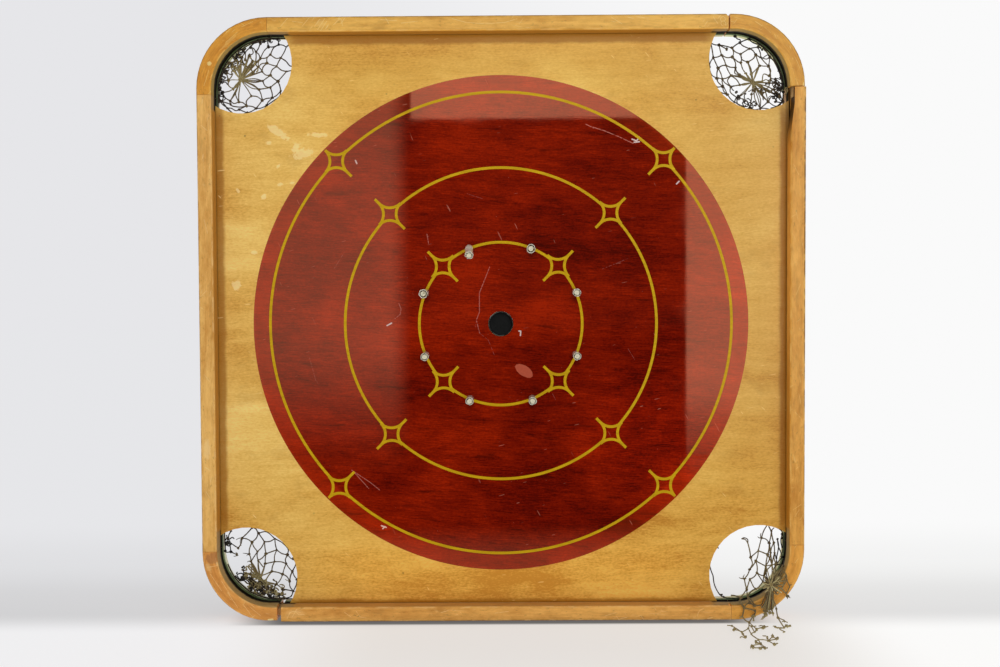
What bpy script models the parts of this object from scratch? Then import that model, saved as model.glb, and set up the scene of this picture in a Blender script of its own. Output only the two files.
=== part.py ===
"""Square two-sided wooden game board with a round playing area, eight pegs and
four corner pockets of knotted net.

The board stands on its bottom rail. Metres, +Z up. The origin is the middle of
the bottom rail's underside, the playing face looks along -Y and +X is to the
right of someone looking at that face. The frame's middle plane is y = 0.
"""
from math import atan2, ceil, cos, hypot, pi, radians, sin, sqrt

import bmesh
import bpy
from mathutils import Matrix, Vector

# ---------------------------------------------------------------- dimensions
SIDE = 0.7112            # outside of the frame, 28 in
HALF = SIDE / 2
RAIL_W = 0.018           # rail width, seen from the front
RAIL_D = 0.042           # rail depth, front to back
CORNER_R = 0.083         # outer radius of the bent corner rails
EDGE_R = 0.0022          # rounding of the rails' long edges
GROOVE_W = 0.0070        # groove for the panel, in the middle of the rail
GROOVE_DEEP = 0.0034
PANEL_T = 0.0064         # three-ply panel
PANEL_IN = 0.0030        # how far the panel goes into the groove

POCKET_C = 0.306         # pocket centre, both ways from the board's centre
POCKET_R = 0.0597        # radius of the bite in the panel's corner
MOUTH_C = 0.292          # middle of the open mouth between panel and rail

FIELD_X = -0.0011        # the round field, its pegs and its cup sit a little
FIELD_Z = -0.0044        # low and left on the panel
PEG_RING_R = 0.0968      # the pegs stand on the inner gold ring
PEG_HOLE_R = 0.0027
PEG_SHANK_R = 0.0023
PEG_POST_R = 0.0033
SLEEVE_IN_R = 0.0036
SLEEVE_OUT_R = 0.0047
PEG_PROUD = 0.0190       # how far a peg stands out of the panel
CUP_HOLE_R = 0.0150      # hole for the cup in the middle of the panel
CUP_OUT_R = 0.0146
CUP_WALL = 0.0011

# joints between straight and corner rails: distance from the board's centre
# along the rail, and how far the joint stands open
FIT = 0.0003
JOINTS = {
    ("top", -1): (0.2720, FIT), ("top", 1): (0.2672, 0.0019),
    ("bottom", -1): (0.2655, 0.0050), ("bottom", 1): (0.2695, FIT),
    ("left", 1): (0.2655, FIT), ("left", -1): (0.2718, FIT),
    ("right", 1): (0.2710, 0.0010), ("right", -1): (0.2668, FIT),
}
# joints that have slipped: how far each piece's end stands out of line
SPRUNG = {("right", 1): 0.0014}            # the right rail's upper end, outwards
LIFTED = {("bottom", -1): -0.0015}         # the lower left corner's end, inwards
TONGUE_U = (0.0040, 0.0125)   # tongue, measured from the rail's inner face
TONGUE_V = 0.0150        # half of the tongue's size front to back
TONGUE_L = 0.0105        # length in each rail
SOCKET_GAP = 0.0004

NET_T = 0.0012           # thickness that stands for the knotted twine
HEAD_R = 0.0009          # head cord round the mouth
HEAD_Y = 0.0048
BAG_Y = 0.0070           # the bags start behind the head cord

A = HALF - CORNER_R      # centre of the corner arcs
INNER = HALF - RAIL_W    # inner face of the rails


# ------------------------------------------------------------------- helpers
def clear():
    for ob in list(bpy.data.objects):
        bpy.data.objects.remove(ob, do_unlink=True)


def material(name, colour, roughness, metallic=0.0):
    m = bpy.data.materials.new(name)
    m.use_nodes = True
    b = m.node_tree.nodes["Principled BSDF"]
    b.inputs["Base Color"].default_value = (*colour, 1.0)
    b.inputs["Roughness"].default_value = roughness
    b.inputs["Metallic"].default_value = metallic
    m.diffuse_color = (*colour, 1.0)
    return m


def at(x, y, z):
    """A point given from the board's centre."""
    return Vector((x, y, z + HALF))


def finish(name, bm, mat, smooth=35, parent=None):
    bmesh.ops.recalc_face_normals(bm, faces=bm.faces)
    mesh = bpy.data.meshes.new(name)
    bm.to_mesh(mesh)
    bm.free()
    if smooth:
        mesh.shade_smooth()
        mesh.set_sharp_from_angle(angle=radians(smooth))
    ob = bpy.data.objects.new(name, mesh)
    bpy.context.scene.collection.objects.link(ob)
    if mat:
        mesh.materials.append(mat)
    if parent:
        ob.parent = parent
    return ob


def as_cutter(ob):
    ob.hide_render = True
    ob.display_type = "WIRE"
    return ob


def cut(ob, cutter):
    m = ob.modifiers.new("cut", "BOOLEAN")
    m.operation = "DIFFERENCE"
    m.solver = "EXACT"
    m.object = cutter
    return m


def loft(rings, close_along=False, cap=True):
    """Quads between rings of equal length, capped at both ends."""
    bm = bmesh.new()
    grid = [[bm.verts.new(p) for p in ring] for ring in rings]
    n = len(grid[0])
    pairs = list(zip(grid, grid[1:]))
    if close_along:
        pairs.append((grid[-1], grid[0]))
    for a, b in pairs:
        for j in range(n):
            k = (j + 1) % n
            bm.faces.new((a[j], a[k], b[k], b[j]))
    if cap and not close_along:
        bm.faces.new(grid[0])
        bm.faces.new(grid[-1])
    return bm


def prism(points, y0, y1):
    """A flat outline of (x, z) from the board's centre, as deep as y0 to y1."""
    return loft([[at(x, y0, z) for x, z in points], [at(x, y1, z) for x, z in points]])


def ring_points(centre, axis_u, axis_v, radius, n):
    return [
        centre + axis_u * (radius * cos(2 * pi * j / n)) + axis_v * (radius * sin(2 * pi * j / n))
        for j in range(n)
    ]


def tube(points, radius, sides, closed):
    """A round cord along a smooth line."""
    rings = []
    count = len(points)
    up = Vector((0, 1, 0))
    for i, p in enumerate(points):
        before = points[i - 1] if (closed or i) else p
        after = points[(i + 1) % count] if (closed or i < count - 1) else p
        t = (after - before).normalized()
        u = t.cross(up)
        if u.length < 1e-4:
            u = t.cross(Vector((1, 0, 0)))
        u.normalize()
        v = t.cross(u).normalized()
        rings.append(ring_points(p, u, v, radius, sides))
    return loft(rings, close_along=closed)


def smooth_line(keys, count):
    """Catmull-Rom line through keys, as count points."""
    pts = [keys[0] * 2 - keys[1], *keys, keys[-1] * 2 - keys[-2]]
    out = []
    for i in range(count):
        s = (len(keys) - 1) * i / (count - 1)
        k = min(int(s), len(keys) - 2)
        t = s - k
        p0, p1, p2, p3 = pts[k:k + 4]
        out.append(
            0.5 * ((2 * p1) + (p2 - p0) * t + (2 * p0 - 5 * p1 + 4 * p2 - p3) * t * t
                   + (3 * p1 - p0 - 3 * p2 + p3) * t ** 3)
        )
    return out


# --------------------------------------------------------------------- rails
def rail_outline():
    """The rail's section: u from the inner face outwards, v front to back."""
    r, n, h, g = EDGE_R, 3, RAIL_D / 2, GROOVE_W / 2
    pts = []

    def rounded(cu, cv, start):
        for k in range(n + 1):
            a = start + pi / 2 * k / n
            pts.append((cu + r * cos(a), cv + r * sin(a)))

    rounded(RAIL_W - r, -h + r, -pi / 2)
    rounded(RAIL_W - r, h - r, 0)
    rounded(r, h - r, pi / 2)
    pts.extend([(0, g), (GROOVE_DEEP, g), (GROOVE_DEEP, -g), (0, -g)])
    rounded(r, -h + r, pi)
    return pts


def section(x, z, nx, nz, push=0.0):
    """The rail's section at an inner-face point, square to the rail's run."""
    return [at(x + (u + push) * nx, v, z + (u + push) * nz) for u, v in rail_outline()]


def socket_box(side, sign, push=0.0):
    """Cutter for a tongue's socket across a joint, both rails together."""
    d, gap = JOINTS[side, sign]
    half = gap / 2 + TONGUE_L + SOCKET_GAP
    return tongue_box(side, sign, half, SOCKET_GAP, push)


def tongue_box(side, sign, half, grow, push=0.0, thin=0.0):
    d, _ = JOINTS[side, sign]
    u0, u1 = TONGUE_U[0] - grow + push + thin / 2, TONGUE_U[1] + grow + push - thin / 2
    v = TONGUE_V + grow
    lo, hi = sign * d - half, sign * d + half
    corners = []
    for s in (lo, hi):
        for u, w in ((u0, -v), (u1, -v), (u1, v), (u0, v)):
            out = INNER + u
            if side in ("top", "bottom"):
                corners.append(at(s, w, out if side == "top" else -out))
            else:
                corners.append(at(out if side == "right" else -out, w, s))
    return loft([corners[:4], corners[4:]])


def straight_rail(side, mat):
    ends = []
    for sign in (-1, 1):
        d, gap = JOINTS[side, sign]
        s = sign * (d - gap / 2)
        push = SPRUNG.get((side, sign), 0.0)
        if side in ("top", "bottom"):
            k = 1 if side == "top" else -1
            ends.append(section(s, k * INNER, 0, k))
        else:
            k = 1 if side == "right" else -1
            ends.append(section(k * INNER, s, k, 0, push))
    ob = finish(f"{side}_rail", loft(ends), mat)
    for sign in (-1, 1):
        push = SPRUNG.get((side, sign), 0.0)
        c = finish(f"cutter_{side}_{sign}", socket_box(side, sign, push), None, 0)
        cut(ob, as_cutter(c))
    return ob


def corner_rail(name, sx, sz, mat, steps=14):
    horizontal = ("top" if sz > 0 else "bottom", sx)
    vertical = ("right" if sx > 0 else "left", sz)
    dh, gh = JOINTS[horizontal]
    dv, gv = JOINTS[vertical]
    lift = LIFTED.get(horizontal, 0.0)
    rings = [section(sx * (dh + gh / 2), sz * INNER, 0, sz, lift)]
    r = CORNER_R - RAIL_W
    for k in range(steps + 1):
        a = pi / 2 * (1 - k / steps)
        nx, nz = sx * cos(a), sz * sin(a)
        eased = lift * max(0.0, 1 - k / 5) ** 2
        rings.append(section(sx * A + r * nx, sz * A + r * nz, nx, nz, eased))
    rings.append(section(sx * INNER, sz * (dv + gv / 2), sx, 0))
    ob = finish(name, loft(rings), mat)
    for side, sign in (horizontal, vertical):
        c = finish(f"cutter_{name}_{side}", socket_box(side, sign, LIFTED.get((side, sign), 0.0)), None, 0)
        cut(ob, as_cutter(c))
    return ob


def joint_tongue(side, sign, mat):
    d, gap = JOINTS[side, sign]
    one, other = SPRUNG.get((side, sign), 0.0), LIFTED.get((side, sign), 0.0)
    bm = tongue_box(side, sign, gap / 2 + TONGUE_L, 0.0,
                    push=(one + other) / 2, thin=abs(one - other))
    end = {("top", -1): "left", ("top", 1): "right", ("bottom", -1): "left", ("bottom", 1): "right"}
    word = end.get((side, sign)) or ("upper" if sign > 0 else "lower")
    return finish(f"joint_tongue_{side}_rail_{word}", bm, mat, 0)


def split_off_wedge(ob):
    """A long splinter is gone from the inner front edge, at the rail's upper end."""
    d, gap = JOINTS["right", 1]
    top = d + 0.002
    x = INNER - 0.002
    out = SPRUNG["right", 1]
    outline = [(x, top), (INNER + out + 0.0043, top), (INNER + out + 0.0041, top - 0.022),
               (INNER + out + 0.0022, top - 0.037), (INNER + out + 0.0004, top - 0.052),
               (INNER, top - 0.062), (x, top - 0.062)]
    c = finish("cutter_wedge", prism(outline, -RAIL_D / 2 - 0.002, -GROOVE_W / 2 + 0.001), None, 0)
    cut(ob, as_cutter(c))


def chip(ob, name, outline, y0, y1):
    c = finish(f"cutter_{name}", prism(outline, y0, y1), None, 0)
    cut(ob, as_cutter(c))


# --------------------------------------------------------------------- panel
def panel_outline(steps=16):
    """A square with a round bite at each corner."""
    edge = INNER + PANEL_IN
    across = sqrt(POCKET_R ** 2 - (edge - POCKET_C) ** 2)
    start = atan2(-across, edge - POCKET_C)             # on the right-hand edge
    end = atan2(edge - POCKET_C, -across) - 2 * pi      # on the top edge
    pts = []
    for quarter in range(4):
        ca, sa = cos(pi / 2 * quarter), sin(pi / 2 * quarter)
        for k in range(steps + 1):
            a = start + (end - start) * k / steps
            x, z = POCKET_C + POCKET_R * cos(a), POCKET_C + POCKET_R * sin(a)
            pts.append((x * ca - z * sa, x * sa + z * ca))
    return pts


def peg_place(k):
    a = radians(112.5 - 45 * k)
    return FIELD_X + PEG_RING_R * cos(a), FIELD_Z + PEG_RING_R * sin(a)


def playing_panel(mat):
    ob = finish("playing_panel", prism(panel_outline(), -PANEL_T / 2, PANEL_T / 2), mat, 0)
    bm = bmesh.new()
    turn = Matrix.Rotation(pi / 2, 4, "X")
    for x, z, r, n in [(*peg_place(k), PEG_HOLE_R, 16) for k in range(8)] + [(FIELD_X, FIELD_Z, CUP_HOLE_R, 40)]:
        bmesh.ops.create_cone(bm, cap_ends=True, segments=n, radius1=r, radius2=r,
                              depth=0.03, matrix=Matrix.Translation(at(x, 0, z)) @ turn)
    cut(ob, as_cutter(finish("cutter_panel_holes", bm, None, 0)))
    return ob


# ------------------------------------------------------------ cup and pegs
def centre_cup(mat, n=40):
    """A shallow pressed cup let into the middle of the panel."""
    top, back = -PANEL_T / 2 + 0.0003, PANEL_T / 2 - 0.0001
    floor = back - 0.0008
    inner = CUP_OUT_R - CUP_WALL
    profile = [(inner - 0.0006, floor), (inner, floor - 0.0006), (inner, top + 0.0003),
               (inner + 0.0003, top), (CUP_OUT_R - 0.0003, top), (CUP_OUT_R, top + 0.0003),
               (CUP_OUT_R, back - 0.0008), (CUP_OUT_R - 0.0008, back)]
    ux, uz = Vector((1, 0, 0)), Vector((0, 0, 1))
    return finish("centre_cup", loft([ring_points(at(FIELD_X, y, FIELD_Z), ux, uz, r, n) for r, y in profile]), mat)


def peg_line(bend, lean):
    """The peg's centre line, straight in the panel and bent by so many degrees
    just in front of it. Returns place and the two square directions at s."""
    def place(s):
        # s is measured out from the panel's front face, inwards is negative
        start, run = 0.0006, 0.0040
        y, drop, angle, steps = 0.0, 0.0, 0.0, 12
        if s <= start:
            y = s
        else:
            y = start
            for k in range(steps):
                ds = (s - start) / steps
                here = start + ds * (k + 0.5)
                angle = radians(bend) * min(1.0, (here - start) / run)
                y += ds * cos(angle)
                drop += ds * sin(angle)
            angle = radians(bend) * min(1.0, (s - start) / run)
        c, w = cos(radians(lean)), sin(radians(lean))
        side = Vector((w, 0, -c))                       # the way the tip droops
        centre = Vector((0, -PANEL_T / 2 - y, 0)) + side * drop
        u = Vector((c, 0, w))
        v = (side * cos(angle) + Vector((0, 1, 0)) * sin(angle)).normalized()
        return centre, u, v
    return place


def peg(k, bend, lean, post_mat, sleeve_mat, n=12):
    x, z = peg_place(k - 1)
    hub = bpy.data.objects.new(f"peg_{k}_axis", None)
    hub.location = at(x, 0, z)
    bpy.context.scene.collection.objects.link(hub)
    place = peg_line(bend, lean)

    def ring(s, r):
        c, u, v = place(s)
        return ring_points(c, u, v, r, n)

    post = [(-PANEL_T + 0.0004, PEG_SHANK_R - 0.0004), (-PANEL_T + 0.0008, PEG_SHANK_R),
            (0.0004, PEG_SHANK_R), (0.0006, PEG_POST_R)]
    for j in range(1, 5):
        post.append((0.0006 + (PEG_PROUD - 0.0018) * j / 4, PEG_POST_R))
    post += [(PEG_PROUD - 0.0004, PEG_POST_R - 0.0003), (PEG_PROUD, PEG_POST_R - 0.0009)]
    finish(f"peg_{k}_post", loft([ring(s, r) for s, r in post]), post_mat, parent=hub)

    lo, hi = 0.0016 if bend > 12 else 0.0008, PEG_PROUD - 0.0013
    stops = [lo + (hi - lo) * j / 4 for j in range(5)]
    rings = [ring(s, SLEEVE_OUT_R) for s in stops] + [ring(s, SLEEVE_IN_R) for s in reversed(stops)]
    finish(f"peg_{k}_sleeve", loft(rings, close_along=True), sleeve_mat, parent=hub)


# ---------------------------------------------------------------------- nets
def from_circle(ox, oz, dx, dz, cx, cz, r):
    """Distance from a point inside a circle to its edge."""
    b = dx * (ox - cx) + dz * (oz - cz)
    return -b + sqrt(b * b - ((ox - cx) ** 2 + (oz - cz) ** 2 - r * r))


def mouth(theta, bite_r, inset):
    """Distance from the mouth's middle to its edge: the bite in the panel with
    radius bite_r, or the rails' inner face drawn in by inset."""
    dx, dz = cos(theta), sin(theta)
    best = from_circle(MOUTH_C, MOUTH_C, dx, dz, POCKET_C, POCKET_C, bite_r)
    wall = INNER - inset
    t = min((wall - MOUTH_C) / dx if dx > 1e-6 else 9, (wall - MOUTH_C) / dz if dz > 1e-6 else 9)
    if MOUTH_C + t * dx > A and MOUTH_C + t * dz > A:
        t = from_circle(MOUTH_C, MOUTH_C, dx, dz, A, A, CORNER_R - RAIL_W - inset)
    return min(best, t)


def head_cord(name, sx, sz, mat, first=0.0, last=2 * pi, count=30, clear_by=0.0):
    closed = last - first > 6.28
    pts = []
    for k in range(count):
        th = first + (last - first) * k / (count if closed else count - 1)
        d = mouth(th, POCKET_R + 0.0026, HEAD_R + 0.0005 + clear_by)
        pts.append(at(sx * (MOUTH_C + d * cos(th)), HEAD_Y, sz * (MOUTH_C + d * sin(th))))
    return finish(name, tube(pts, HEAD_R, 6, closed), mat)


def net_bag(name, sx, sz, apex, mat, n=24, rings=6, clear_by=0.0):
    """A bag that narrows from the pocket's mouth to its gather behind the board."""
    ax, ay, az = apex
    bm = bmesh.new()
    grid = []
    for k in range(rings + 1):
        s = k / rings
        w = 0.94 * s ** 1.15
        y = BAG_Y + (ay - BAG_Y) * sin(s * pi / 2) ** 0.9
        row = []
        for j in range(n):
            th = 2 * pi * j / n
            d = mouth(th, POCKET_R + 0.0012, 0.0012 + clear_by)
            x, z = sx * (MOUTH_C + d * cos(th)), sz * (MOUTH_C + d * sin(th))
            x, z = x + (ax - x) * w, z + (az - z) * w
            row.append(bm.verts.new(at(x, y, z)))
        grid.append(row)
    for a, b in zip(grid, grid[1:]):
        for j in range(n):
            i = (j + 1) % n
            bm.faces.new((a[j], a[i], b[i], b[j]))
    bm.faces.new(grid[-1])
    bmesh.ops.recalc_face_normals(bm, faces=bm.faces)
    # all faces look out of the bag, backwards, so that the wall grows inwards
    back = sum((f.normal.y * f.calc_area() for f in bm.faces), 0.0)
    if back < 0:
        bmesh.ops.reverse_faces(bm, faces=bm.faces)
    mesh = bpy.data.meshes.new(name)
    bm.to_mesh(mesh)
    bm.free()
    mesh.shade_smooth()
    mesh.materials.append(mat)
    ob = bpy.data.objects.new(name, mesh)
    bpy.context.scene.collection.objects.link(ob)
    m = ob.modifiers.new("wall", "SOLIDIFY")
    m.thickness = NET_T
    m.offset = -1.0
    m.use_rim = True
    return ob


def gather_knot(name, x, y, z, mat, r=0.0030):
    bm = bmesh.new()
    bmesh.ops.create_uvsphere(bm, u_segments=10, v_segments=7, radius=r)
    bmesh.ops.scale(bm, vec=(1.0, 0.75, 1.0), verts=bm.verts)
    bmesh.ops.translate(bm, vec=at(x, y, z), verts=bm.verts)
    return finish(name, bm, mat)


def net_strip(name, keys, count, mat, across=3):
    """A torn piece of net hanging as a strip. keys: x, y, z, half width."""
    line = smooth_line([Vector(k[:3]) for k in keys], count)
    width = smooth_line([Vector((k[3], 0, 0)) for k in keys], count)
    bm = bmesh.new()
    grid = []
    for p, w in zip(line, width):
        grid.append([bm.verts.new(at(p.x + w.x * (2 * j / across - 1), p.y, p.z)) for j in range(across + 1)])
    for a, b in zip(grid, grid[1:]):
        for j in range(across):
            bm.faces.new((a[j], a[j + 1], b[j + 1], b[j]))
    bmesh.ops.recalc_face_normals(bm, faces=bm.faces)
    mesh = bpy.data.meshes.new(name)
    bm.to_mesh(mesh)
    bm.free()
    mesh.shade_smooth()
    mesh.materials.append(mat)
    ob = bpy.data.objects.new(name, mesh)
    bpy.context.scene.collection.objects.link(ob)
    m = ob.modifiers.new("wall", "SOLIDIFY")
    m.thickness = NET_T
    m.offset = 0.0
    m.use_rim = True
    return ob


# --------------------------------------------------------------------- build
def build():
    clear()
    rail = material("rail_maple", (0.61, 0.36, 0.14), 0.38)
    bent = material("bent_rail_maple", (0.56, 0.25, 0.07), 0.38)
    raw = material("tongue_wood", (0.70, 0.52, 0.32), 0.8)
    ply = material("panel_birch", (0.46, 0.25, 0.06), 0.30)
    black = material("cup_black", (0.01, 0.01, 0.012), 0.35)
    cream = material("peg_cream", (0.72, 0.68, 0.52), 0.45)
    clear_sleeve = material("peg_sleeve", (0.55, 0.53, 0.47), 0.25)
    twine = material("net_twine", (0.16, 0.13, 0.05), 0.85)

    playing_panel(ply)
    rails = {side: straight_rail(side, rail) for side in ("top", "bottom", "left", "right")}
    split_off_wedge(rails["right"])
    d, gap = JOINTS["top", 1]
    end = d - gap / 2
    chip(rails["top"], "top_chip",
         [(end - 0.0035, HALF + 0.001), (end - 0.0012, HALF - 0.0024), (end + 0.001, HALF - 0.0030),
          (end + 0.001, HALF + 0.001)], -RAIL_D / 2 - 0.001, -0.006)
    d, gap = JOINTS["bottom", 1]
    end = d - gap / 2
    chip(rails["bottom"], "bottom_chip",
         [(end - 0.0060, -INNER + 0.001), (end + 0.001, -INNER + 0.001), (end + 0.001, -INNER - 0.0022)],
         -RAIL_D / 2 - 0.001, -0.014)
    corners = {}
    for sz, v in ((1, "top"), (-1, "bottom")):
        for sx, h in ((-1, "left"), (1, "right")):
            corners[h, v] = corner_rail(f"corner_rail_{v}_{h}", sx, sz, bent)
    for side, sign in JOINTS:
        joint_tongue(side, sign, raw)

    centre_cup(black)
    # how far each peg droops in degrees, and which way it leans
    bends = {1: (34, 2), 2: (6, -35), 3: (3, 20), 4: (5, 10), 5: (5, 0), 6: (4, -5), 7: (4, -10), 8: (6, -50)}
    for k in range(1, 9):
        peg(k, *bends[k], cream, clear_sleeve)

    apexes = {("left", "top"): (-0.3140, 0.0290, 0.2920), ("right", "top"): (0.3050, 0.0300, 0.2850),
              ("left", "bottom"): (-0.2970, 0.0280, -0.3170)}
    for (h, v), (ax, ay, az) in apexes.items():
        sx, sz = (-1 if h == "left" else 1), (1 if v == "top" else -1)
        clear_by = -LIFTED.get((v, sx), 0.0)
        head_cord(f"head_cord_{v}_{h}", sx, sz, twine, clear_by=clear_by)
        net_bag(f"pocket_net_{v}_{h}", sx, sz, (ax, ay, az), twine, clear_by=clear_by)
        gather_knot(f"gather_knot_{v}_{h}", ax, ay + 0.0030, az, twine)

    # the lower right net is torn off along its lower edge: a strip of it hangs
    # forwards through the pocket, over the rail and down to the floor
    head_cord("head_cord_bottom_right", 1, -1, twine, radians(-112), radians(196), 26)
    net_strip("pocket_net_bottom_right", [
        (0.3200, 0.0072, -0.2445, 0.006), (0.3190, 0.0070, -0.2520, 0.008),
        (0.3160, 0.0030, -0.2650, 0.012), (0.3120, -0.0060, -0.2830, 0.016),
        (0.3090, -0.0160, -0.2980, 0.016), (0.3070, -0.0240, -0.3100, 0.016),
        (0.3050, -0.0255, -0.3220, 0.019), (0.3030, -0.0255, -0.3350, 0.018),
        (0.3000, -0.0260, -0.3440, 0.016)], 17, twine)
    gather_knot("gather_knot_bottom_right", 0.3110, -0.0295, -0.3110, twine)
    net_strip("torn_net_strands", [
        (0.2995, -0.0290, -0.3470, 0.015), (0.2990, -0.0370, -0.3525, 0.016),
        (0.2990, -0.0540, -0.3545, 0.019), (0.3010, -0.0800, -0.3547, 0.022),
        (0.3040, -0.1100, -0.3547, 0.018), (0.3070, -0.1400, -0.3547, 0.010)], 14, twine)


build()
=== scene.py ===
from math import atan2, cos, hypot, pi, radians, sin, sqrt

import bmesh
import bpy
import numpy as np
from mathutils import Matrix, Vector


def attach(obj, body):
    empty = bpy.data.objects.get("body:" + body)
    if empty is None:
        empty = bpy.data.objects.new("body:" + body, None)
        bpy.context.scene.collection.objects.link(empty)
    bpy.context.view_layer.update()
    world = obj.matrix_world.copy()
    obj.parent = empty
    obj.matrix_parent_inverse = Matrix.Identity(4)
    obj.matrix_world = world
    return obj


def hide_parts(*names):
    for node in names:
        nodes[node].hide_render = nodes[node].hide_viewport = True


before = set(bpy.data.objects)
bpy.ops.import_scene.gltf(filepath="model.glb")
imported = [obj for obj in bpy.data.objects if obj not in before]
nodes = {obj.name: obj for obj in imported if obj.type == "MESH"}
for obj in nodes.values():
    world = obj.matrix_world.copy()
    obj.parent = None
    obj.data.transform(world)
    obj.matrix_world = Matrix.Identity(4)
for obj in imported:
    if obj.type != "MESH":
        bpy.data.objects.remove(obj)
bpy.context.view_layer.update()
scene = bpy.context.scene

# The board's own numbers, in metres, as in the CAD source
HALF = 0.3556
RAIL_W, RAIL_D, CORNER_R, EDGE_R = 0.018, 0.042, 0.083, 0.0022
A, INNER = HALF - CORNER_R, HALF - RAIL_W
PANEL_T = 0.0064
FRONT = -PANEL_T / 2
POCKET_C, POCKET_R, MOUTH_C = 0.306, 0.0597, 0.292
FIELD_X, FIELD_Z = -0.0011, -0.0044
PEG_RING_R, PEG_HOLE_R = 0.0968, 0.0027
CUP_HOLE_R, CUP_OUT_R = 0.0150, 0.0146
HEAD_Y = 0.0048


def at(x, y, z):
    """A point given from the board's centre."""
    return Vector((x, y, z + HALF))


def lin(r, g, b):
    """Linear colour from a display colour in 0 to 255."""
    out = []
    for v in (r, g, b):
        v /= 255
        out.append(v / 12.92 if v <= 0.04045 else ((v + 0.055) / 1.055) ** 2.4)
    return tuple(out)


def times(c, k):
    return tuple(v * k for v in c)


# ============================================================ camera and stage
cam = bpy.data.objects.new("camera", bpy.data.cameras.new("camera"))
scene.collection.objects.link(cam)
turn = (Matrix.Rotation(0.00495, 3, "Z") @ Matrix.Rotation(0.005924, 3, "Y") @ Matrix.Rotation(-0.02845, 3, "X"))
right, ahead, up = turn.col[0], turn.col[1], turn.col[2]
m = Matrix((
    (right.x, up.x, -ahead.x, 0.00495),
    (right.y, up.y, -ahead.y, -1.36998),
    (right.z, up.z, -ahead.z, 0.37853),
    (0, 0, 0, 1)))
cam.matrix_world = m
cam.data.sensor_width = 36
cam.data.lens = 41.4
cam.data.clip_start, cam.data.clip_end = 0.05, 60
scene.camera = cam
scene.view_settings.view_transform = "Standard"
scene.view_settings.look = "None"


def soft_panel(name, x0, x1, z0, z1, y, radiance, gloss=None, colour=(1, 1, 1), back=False):
    """A soft box. gloss, where given, says how it looks in a reflection: its radiance, its lower and right
    edges, how bright it stays at heights up to 0.30 m, and the width of its soft right edge."""
    if gloss is not None:
        seen, low_, right_, stops, soft = gloss
        mirror = soft_panel(name + "_seen", x0, right_, low_, z1, y, seen, None, colour, back)
        mirror.visible_diffuse = False
        mirror.data.use_nodes = True
        nt = mirror.data.node_tree
        glow = next(n for n in nt.nodes if n.type == "EMISSION")
        where = nt.nodes.new("ShaderNodeNewGeometry")
        xyz = nt.nodes.new("ShaderNodeSeparateXYZ")
        nt.links.new(where.outputs["Position"], xyz.inputs[0])
        height = nt.nodes.new("ShaderNodeMapRange")
        height.inputs["From Max"].default_value = 0.30
        nt.links.new(xyz.outputs[2], height.inputs["Value"])
        fall = nt.nodes.new("ShaderNodeValToRGB")
        while len(fall.color_ramp.elements) < len(stops):
            fall.color_ramp.elements.new(0.5)
        for el, (at_h, v) in zip(fall.color_ramp.elements, stops):
            el.position = at_h / 0.30
            el.color = (v, v, v, 1)
        nt.links.new(height.outputs[0], fall.inputs[0])
        edge_ = nt.nodes.new("ShaderNodeMapRange")
        edge_.interpolation_type = "SMOOTHSTEP"
        edge_.inputs["From Min"].default_value = right_
        edge_.inputs["From Max"].default_value = right_ - max(soft, 1e-5)
        nt.links.new(xyz.outputs[0], edge_.inputs["Value"])
        both = nt.nodes.new("ShaderNodeMath")
        both.operation = "MULTIPLY"
        nt.links.new(fall.outputs[0], both.inputs[0])
        nt.links.new(edge_.outputs[0], both.inputs[1])
        nt.links.new(both.outputs[0], glow.inputs["Strength"])
    data = bpy.data.lights.new(name, "AREA")
    data.shape = "RECTANGLE"
    data.size, data.size_y = x1 - x0, z1 - z0
    data.energy = pi * (x1 - x0) * (z1 - z0) * radiance
    data.color = colour
    ob = bpy.data.objects.new(name, data)
    ob.location = ((x0 + x1) / 2, y, (z0 + z1) / 2)
    ob.rotation_euler = (radians(-90 if back else 90), 0, 0)   # shines along +Y, or along -Y
    ob.visible_camera = False
    if gloss is not None:
        ob.visible_glossy = False
    scene.collection.objects.link(ob)
    return ob


soft_panel("light_left", -1.45, -0.247, 0.10, 1.75, -1.40, 1.50,
           (1.28, 0.002, -0.220, [(0, 0.05), (0.034, 0.09), (0.092, 0.30), (0.150, 0.55), (0.207, 0.80), (0.270, 1.0)], 0.058))
soft_panel("light_right", 0.438, 1.64, 0.05, 1.75, -1.40, 1.85,
           (2.60, 0.002, 1.64, [(0, 0.22), (0.034, 0.34), (0.092, 0.55), (0.150, 0.92), (0.200, 1.0)], 0.001))
soft_panel("light_top", -0.243, 0.434, 0.8145, 1.75, -1.40, 2.2, (2.75, 0.8145, 0.434, [(0, 1.0), (0.3, 1.0)], 0.001))
soft_panel("light_behind", -1.3, 1.3, 0.3, 1.7, 2.6, 0.55, back=True)


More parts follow.
